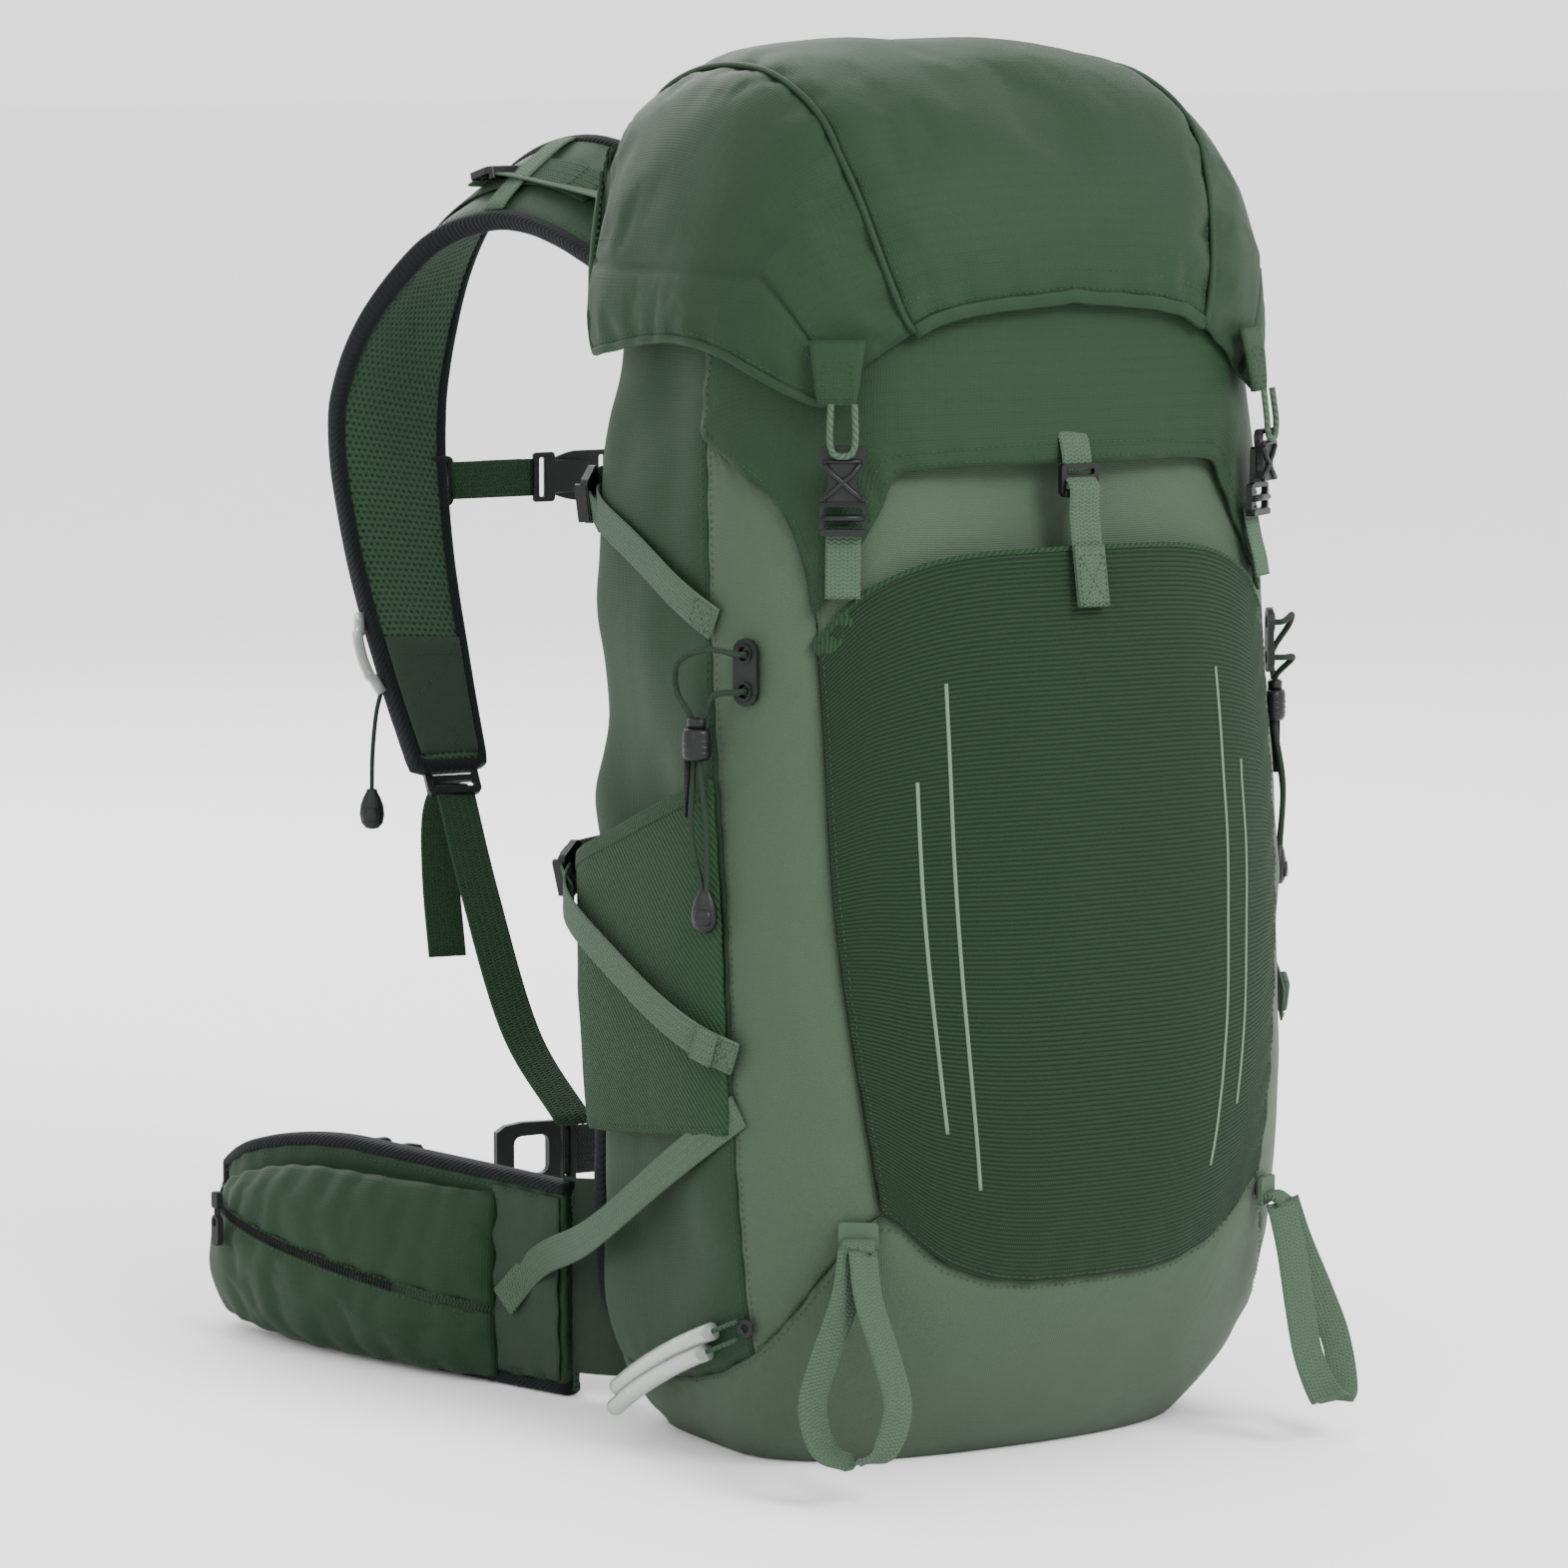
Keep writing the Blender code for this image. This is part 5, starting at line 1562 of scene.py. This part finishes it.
def make_back():
    rows = []
    for z in spread(0.045, 0.478, 110):
        lumbar = 0.011 * max(0.0, 1 - (abs(z - 0.105) / 0.075) ** 2)
        half_width = 0.108 - 0.030 * min(1.0, max(0.0, (z - 0.16) / 0.30))
        line = []
        for x in spread(half_width, -half_width, 60):
            share = abs(x) / half_width
            edge = min(1.0, (1 - share) / 0.10, (z - 0.045) / 0.010 + 0.01, (0.478 - z) / 0.010 + 0.01)
            ridge = 0.5 - 0.5 * cos(2 * pi * (z - 0.045) / 0.0361)
            channel = 1 - exp(
                -(((abs(x) - 0.026) / 0.0042) ** 2)
            ) - exp(-((x / 0.0035) ** 2)) * (0.6 if z > 0.2 else 0)
            y = BACK_REACH + 0.021 + lumbar - 20 * lumbar * x * x
            y += 0.0022 - 0.0052 * (1 - edge) ** 1.5 - 0.0034 * (1 - ridge**0.45) * (
                1 if z > 0.175 else 0.25
            ) - 0.0032 * (1 - channel)
            line.append(Vector((x, y, z)))
        rows.append(line)
    pad = skin("back_pad_mesh", rows, BLACK_MESH, "bag", ["back_pad"], thickness=0.011)
    ring = [
        *rows[0], *[r[-1] for r in rows[1:]], *reversed(rows[-1][:-1]),
        *[r[0] for r in reversed(rows[1:-1])], rows[0][0]
    ]
    bar(
        "back_pad_binding", [p - Vector((0, 0.0045, 0)) for p in ring], Vector((0, 1, 0)), 0.0064, 0.0100,
        BINDING, "bag", sides=12, power=3.0
    )
    for obj, mat in (("frame_stay", ALLOY), ("frame_sheet", SHEET)):
        node = bpy.data.objects.get(obj)
        if node:
            node.data.materials.clear()
            node.data.materials.append(mat)
    # The dark sleeve over the frame sheet and its stay.
    rows = []
    for z in spread(0.074, 0.498, 60):
        line = []
        for x in spread(0.106, -0.106, 50):
            edge = min(0.106 - abs(x), z - 0.074, 0.498 - z)
            line.append(Vector((x, BACK_REACH + 0.0006 + 0.0086 * (1 - exp(-edge / 0.0035)), z)))
        rows.append(line)
    skin(
        "frame_sleeve", dress(rows, wrinkle=0.0003, tuck=0.0), RIPSTOP, "bag", thickness=0.0006, offset=1.0
    )
    # The belt's root: knit fabric from under the pad's foot to each wing.
    for side, sign in SIDES:
        rows = []
        for z in spread(0.010, 0.100, 16):
            lumbar = 0.011 * max(0.0, 1 - (abs(z - 0.105) / 0.075) ** 2)
            a, b = Vector(
                (sign * 0.097, BACK_REACH + 0.0165 + 0.8 * lumbar, z)
            ), wing_at(sign, 0.03, z, 0.0)
            rows.append([a.lerp(b, t) + Vector((0, -0.0030 * sin(pi * t), 0)) for t in spread(0, 1, 14)])
        root = skin(f"belt_root_{side}", rows, STRETCH_SAGE, "bag", thickness=0)
        root.parent = None
        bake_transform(root)


# ---------------------------------------------------------------- hip belt


def wing_at(sign, along, z, out=0.0):
    point, outward = wing_point(sign, along)
    return point + outward * out + Vector((0, 0, z))


def wing_point(sign, along):
    low = min(59, int(along * 60))
    a, way = wing_frame(sign, low / 60)
    b, next_way = wing_frame(sign, (low + 1) / 60)
    share = along * 60 - low
    return a.lerp(b, share), way.lerp(next_way, share).normalized()


def wing_low(along):
    return 0.0006 + 0.016 * max(0.0, (along - 0.65) / 0.35) ** 2


def wing_high(along):
    return 0.103 - 0.028 * max(0.0, (along - 0.55) / 0.45) ** 1.6 - 0.008 * (1 - along)


def pocket_at(sign, part, up, lift=0.0):
    along = 0.22 + 0.745 * part
    z = mix(0.0035 + 0.012 * max(0, part - 0.5), 0.0890 - 0.026 * max(0.0, (part - 0.45) / 0.55) ** 1.6, up)
    belly = (sin(pi * part) ** 0.6) * (sin(pi * mix(0.10, 0.93, up)) ** 0.7) if 0 < part < 1 else 0.0
    return wing_at(sign, along, z, WING_THICKNESS / 2 + 0.0010 + 0.0245 * belly + lift)


def make_hip_belt():
    for side, sign in SIDES:
        body = f"hip_wing_{side}"
        rows = []
        for along in spread(0, 1, 76):
            line = []
            for z in spread(wing_low(along), wing_high(along), 34):
                share = (z - wing_low(along)) / (wing_high(along) - wing_low(along))
                crown = 0.0018 * sin(pi * share) ** 0.5 - 0.0012 * exp(
                    -(((share - 0.34) / 0.03) ** 2)
                ) - 0.0012 * exp(-(((share - 0.66) / 0.03) ** 2))
                line.append(wing_at(sign, along, z, -WING_THICKNESS / 2 - crown + 0.0008))
            rows.append(line[::-1] if sign < 0 else line)
        inner = skin(f"belt_mesh_{side}", rows, SPACER, body, [f"hip_wing_{side}"], thickness=0.0040)
        rows = []
        for along in spread(0, 1, 60):
            line = []
            for z in spread(wing_low(along), wing_high(along), 24):
                share = (z - wing_low(along)) / (wing_high(along) - wing_low(along))
                line.append(wing_at(sign, along, z, WING_THICKNESS / 2 - 0.0004 + 0.0004 * sin(pi * share)))
            rows.append(upright(side, line))
        outer = skin(
            f"belt_face_{side}", dress(rows, wrinkle=0.0006, scale=20, seed=71, tuck=0.0008), RIPSTOP, body,
            thickness=0.0050
        )
        ring = [wing_at(sign, a, wing_high(a)) for a in spread(0, 1, 50)]
        ring += [wing_at(sign, 1.0, z) for z in spread(wing_high(1.0), wing_low(1.0), 14)[1:-1]]
        ring += [wing_at(sign, a, wing_low(a) + 0.0024) for a in spread(1, 0, 50)]
        faces = [
            wing_point(sign, a)[1] for a in spread(0, 1, 50)
        ] + [wing_point(sign, 1.0)[1]] * 12 + [wing_point(sign, a)[1] for a in spread(1, 0, 50)]
        bar(
            f"belt_binding_{side}", ring, faces, 0.0064, WING_THICKNESS + 0.0014, BINDING, body, sides=14,
            power=3.0
        )
        for low in (True, False):
            for out in (1, -1):
                line = [
                    wing_at(
                        sign, a, (wing_low(a) + 0.0075 if low else wing_high(a) - 0.0050),
                        out * (WING_THICKNESS / 2 + 0.0006)
                    )
                    for a in spread(0.01, 0.99, 60)
                ]
                stitch(line, body)
        # The zipped pocket: its upper and lower walls meet at the zip's tape.
        lower, upper = [], []
        for part in spread(0, 1, 66):
            gap = zip_up(part)
            line = [pocket_at(sign, part, up) for up in spread(0, gap - 0.022, 26)]
            lower.append(upright(side, line))
            line = [pocket_at(sign, part, up) for up in spread(gap + 0.022, 1, 16)]
            upper.append(upright(side, line))
        low = skin(
            f"hip_pocket_wall_{side}",
            dress(lower, wrinkle=0.0026, scale=20, ripple=0.0004, seed=77 + sign), RIPSTOP, body,
            [f"hip_pocket_{side}"], offset=1.0
        )
        settle(low, pressure=1.5, cap=0.0022)
        high = skin(
            f"hip_pocket_flap_{side}", dress(upper, wrinkle=0.0016, scale=22, seed=79 + sign), RIPSTOP,
            body, offset=1.0
        )
        settle(high, pressure=1.2, cap=0.0015)
        rows = []
        for part in spread(0.0, 1.0, 66):
            gap = zip_up(part)
            line = [
                pocket_at(sign, part, gap + d, -0.0004) for d in (-0.03, -0.02, -0.01, 0, 0.01, 0.02, 0.03)
            ]
            rows.append(upright(side, line))
        skin(f"zip_tape_{side}", rows, ZIP, body, thickness=0.0006, offset=1.0)
        parts = spread(0.24, 0.97, 80)
        line = [pocket_at(sign, p, zip_up(p), 0.0010) for p in parts]
        shape = bmesh.new()
        outs = [wing_point(sign, 0.22 + 0.745 * p)[1] for p in parts]
        gone = 0.0
        for a, b, o in zip(line, line[1:], outs):
            step = (b - a).length
            run = (b - a).normalized()
            up = run.cross(o)
            while gone < step:
                spot = a + run * gone
                bar_mesh(
                    shape, [spot - up * 0.0022, spot + o * 0.0004, spot + up * 0.0022], run, 0.0009, 0.0008,
                    5, 2.0
                )
                gone += 0.0018
            gone -= step
        ride(new_object(f"zip_coil_{side}", shape, SOFT_BLACK), body)
        for d in (-0.034, 0.034):
            stitch([pocket_at(sign, p, zip_up(p) + d, 0.0022) for p in spread(0.04, 0.96, 60)], body)
        stitch([pocket_at(sign, p, 0.035, 0.0022) for p in spread(0.05, 0.95, 60)], body)
        # The knit panel at the belt's root.
        rows = []
        for along in spread(0.015, 0.23, 20):
            line = [
                wing_at(
                    sign, along, mix(wing_low(along) + 0.006, wing_high(along) - 0.004, up),
                    WING_THICKNESS / 2 + 0.0010 + 0.0015 * sin(pi * up)
                )
                for up in spread(0, 1, 20)
            ]
            rows.append(upright(side, line))
        skin(
            f"belt_root_panel_{side}", dress(rows, wrinkle=0.0005, tuck=0.0006), STRETCH_SAGE, body,
            thickness=0.0010
        )
        # Webbing to the waist buckle.
        tip, _ = wing_frame(sign, 1.0)
        stops = [
            (tip.x, tip.y - 0.030), (tip.x, tip.y + 0.004), (sign * 0.158, 0.405), (sign * 0.132, 0.432),
            (sign * 0.100, 0.448), (sign * 0.066, 0.452), (sign * 0.058, 0.452)
        ]
        path = smooth_line([(x, y, 0.047) for x, y in stops[1:]], 46)
        facings = []
        for i in range(46):
            run = heading(path, i)
            facings.append(Vector((run.y, -run.x, 0)) * sign)
        bar(
            f"belt_web_{side}", path, facings, BELT_WEBBING, 0.0015, WEBBING_BLACK, body,
            [f"hip_webbing_{side}"]
        )
        fold = [p + f * 0.0019 for p, f in zip(path[24:44], facings[24:44])]
        bar(f"belt_web_fold_{side}", fold, facings[24:44], BELT_WEBBING, 0.0014, WEBBING_BLACK, body)
        keeper = Matrix.Translation(
            path[26] + facings[26] * 0.0010
        ) @ (path[27] - path[25]).to_track_quat("Z", "Y").to_matrix().to_4x4()
        Mould().plate(
            [rounded(0.031, 0.0075, 0.002), rounded(0.0262, 0.0035, 0.0012)], 0.0062, keeper, 0.0008
        ).make(f"belt_keeper_{side}", SOFT_BLACK, body)
        box_stitch(path[:9], facings[:9], BELT_WEBBING, 0.1, 0.9, body)
        # Stabiliser strap from the bag's lower corner to the wing, sewn down at both ends.
        before = bag_point(sign * 68.0, 0.161, 0.0004)
        start = bag_point(sign * 84, 0.132, 0.0034)
        mid = bag_point(sign * 110, 0.090, 0.0066)
        near = wing_at(sign, 0.06, 0.062, WING_THICKNESS / 2 + 0.0052)
        end = wing_at(sign, 0.185, 0.040, WING_THICKNESS / 2 + 0.0056)
        path = smooth_line([before, start, mid, near, end], 44)
        facings = []
        for i, p in enumerate(path):
            share = i / 43
            wall = bag_point(
                sign * mix(76, 118, min(1.0, share * 1.7)), p.z, 1.0
            ) - bag_point(sign * mix(76, 118, min(1.0, share * 1.7)), p.z, 0.0)
            facings.append(
                wall.normalized().lerp(
                    wing_point(sign, 0.15)[1], min(1.0, max(0.0, (share - 0.4) * 2))
                ).normalized()
            )
        strap = bar(f"stabiliser_{side}", path, facings, 0.0155, 0.0016, WEBBING_SAGE, "bag")
        strap.parent = None
        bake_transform(strap)
    place = Matrix.Translation((0, 0.452, 0.047)) @ Matrix.Rotation(radians(90), 4, "Y")
    half = (
        (0.0150, 0.0640), (0.0162, 0.0628), (0.0166, 0.0480), (0.0172, 0.0330), (0.0160, 0.0230),
        (0.0130, 0.0180)
    )
    outline = mirrored(half)
    m = Mould()
    m.plate(
        [outline, rounded(0.0260, 0.0034, 0.0012, z=0.0590), rounded(0.0200, 0.0200, 0.0040, z=0.0380)],
        0.0044, place, 0.0009
    )
    for x in (-0.0125, 0.0125):
        m.rod([place @ Vector((x, 0.0016, z)) for z in (0.0230, 0.0350, 0.0500)], 0.0016, 10)
    m.rod([place @ Vector((x, 0.0, 0.0550)) for x in (-0.0145, 0.0, 0.0145)], 0.0024, 10)
    m.make("waist_buckle_socket", ACETAL, "hip_wing_right", ["hip_buckle_socket"])
    half = (
        (0.0035, -0.0235), (0.0080, -0.0228), (0.0110, -0.0250), (0.0122, -0.0310), (0.0120, -0.0400),
        (0.0158, -0.0426), (0.0166, -0.0445), (0.0162, -0.0625), (0.0150, -0.0638)
    )
    outline = mirrored(half)
    m = Mould()
    m.plate(
        [outline, rounded(0.0260, 0.0034, 0.0012, z=-0.0590), rounded(0.0110, 0.0090, 0.0030, z=-0.0340)],
        0.0042, place, 0.0009
    )
    m.rod([place @ Vector((x, 0.0, -0.0550)) for x in (-0.0145, 0.0, 0.0145)], 0.0024, 10)
    m.make("waist_buckle_plug", ACETAL, "hip_wing_left", ["hip_buckle_plug"])


def zip_up(part):
    """How far up the pocket the zip runs, as a share of its height there."""
    y = wing_point(1, 0.22 + 0.745 * min(part, 0.97))[0].y
    z = 0.058 + 0.153 * (y - 0.325)
    low = 0.0035 + 0.012 * max(0, part - 0.5)
    high = 0.0890 - 0.026 * max(0.0, (part - 0.45) / 0.55) ** 1.6
    return (z - low) / (high - low)


def make_zip_pulls():
    for side, sign in SIDES:
        centre = Vector((sign * 0.2005, 0.325, 0.058))
        turned = Matrix.Rotation(sign * pi / 2, 4, "Z")
        place = Matrix.Translation(centre) @ turned
        m = Mould()
        m.plate(
            [rounded(0.0070, 0.0150, 0.0034, z=-0.0055), rounded(0.0032, 0.0040, 0.0014, z=-0.0015)],
            0.0030, place, 0.0007
        )
        m.plate([rounded(0.0062, 0.0080, 0.0015, z=0.0090)], 0.0032, place, 0.0007)
        for x in (-0.0013, 0.0013):
            m.rod([place @ Vector((x, 0, z)) for z in (-0.0030, 0.0030, 0.0070)], 0.0009, 8)
        m.make(f"zip_pull_grip_{side}", SOFT_BLACK, f"zip_pull_{side}", [f"zip_pull_{side}"])


# ---------------------------------------------------------------- scene


def area(name, place, aim, size, power):
    light = bpy.data.lights.new(name, "AREA")
    light.shape, light.size, light.energy = "DISK", size, power
    obj = bpy.data.objects.new(name, light)
    obj.matrix_world = Matrix.Translation(place) @ (
        Vector(aim) - Vector(place)
    ).to_track_quat("-Z", "Y").to_matrix().to_4x4()
    bpy.context.scene.collection.objects.link(obj)


def make_stage():
    floor = bmesh.new()
    bmesh.ops.create_grid(floor, x_segments=1, y_segments=1, size=30)
    g = Graph("pale_floor", 0.9)
    tone = g.blend(g.noise(0.8), (0.93, 0.93, 0.93, 1), (0.96, 0.96, 0.96, 1))
    obj = new_object("floor", floor, g.finish(tone, g.noise(300.0), 0.0001))
    obj.location.z = -0.0006
    world = bpy.data.worlds.new("studio")
    world.use_nodes = True
    world.node_tree.nodes["Background"].inputs["Color"].default_value = (1.0, 1.0, 1.0, 1)
    world.node_tree.nodes["Background"].inputs["Strength"].default_value = 1.85
    bpy.context.scene.world = world
    area("key", (0.5, -2.5, 2.2), (0, 0, 0.3), 1.4, 120)
    area("fill", (-2.5, -1.2, 1.5), (0, 0, 0.3), 2.2, 26)
    area("back", (0.4, 2.4, 1.9), (0, 0.1, 0.3), 1.8, 46)
    aim = Vector((-0.061, 0.036, 0.287))
    turn, rise = radians(-31), radians(7)
    camera = bpy.data.objects.new("camera", bpy.data.cameras.new("camera"))
    place = aim + Vector((sin(turn) * cos(rise), -cos(turn) * cos(rise), sin(rise))) * 2.87
    camera.matrix_world = Matrix.Translation(place) @ (
        aim - place
    ).to_track_quat("-Z", "Y").to_matrix().to_4x4()
    camera.data.lens = 6500 / 1571 * 36
    camera.data.sensor_width = 36
    camera.data.dof.use_dof = False
    bpy.context.scene.collection.objects.link(camera)
    bpy.context.scene.camera = camera


make_stage()
make_bag()
make_pockets()
make_straps()
make_axe_loops()
make_lash_points()
make_pole_tube()
make_lid()
make_front_buckle()
make_harness()
make_haul_loop()
make_back()
make_hip_belt()
make_zip_pulls()
make_stitches()
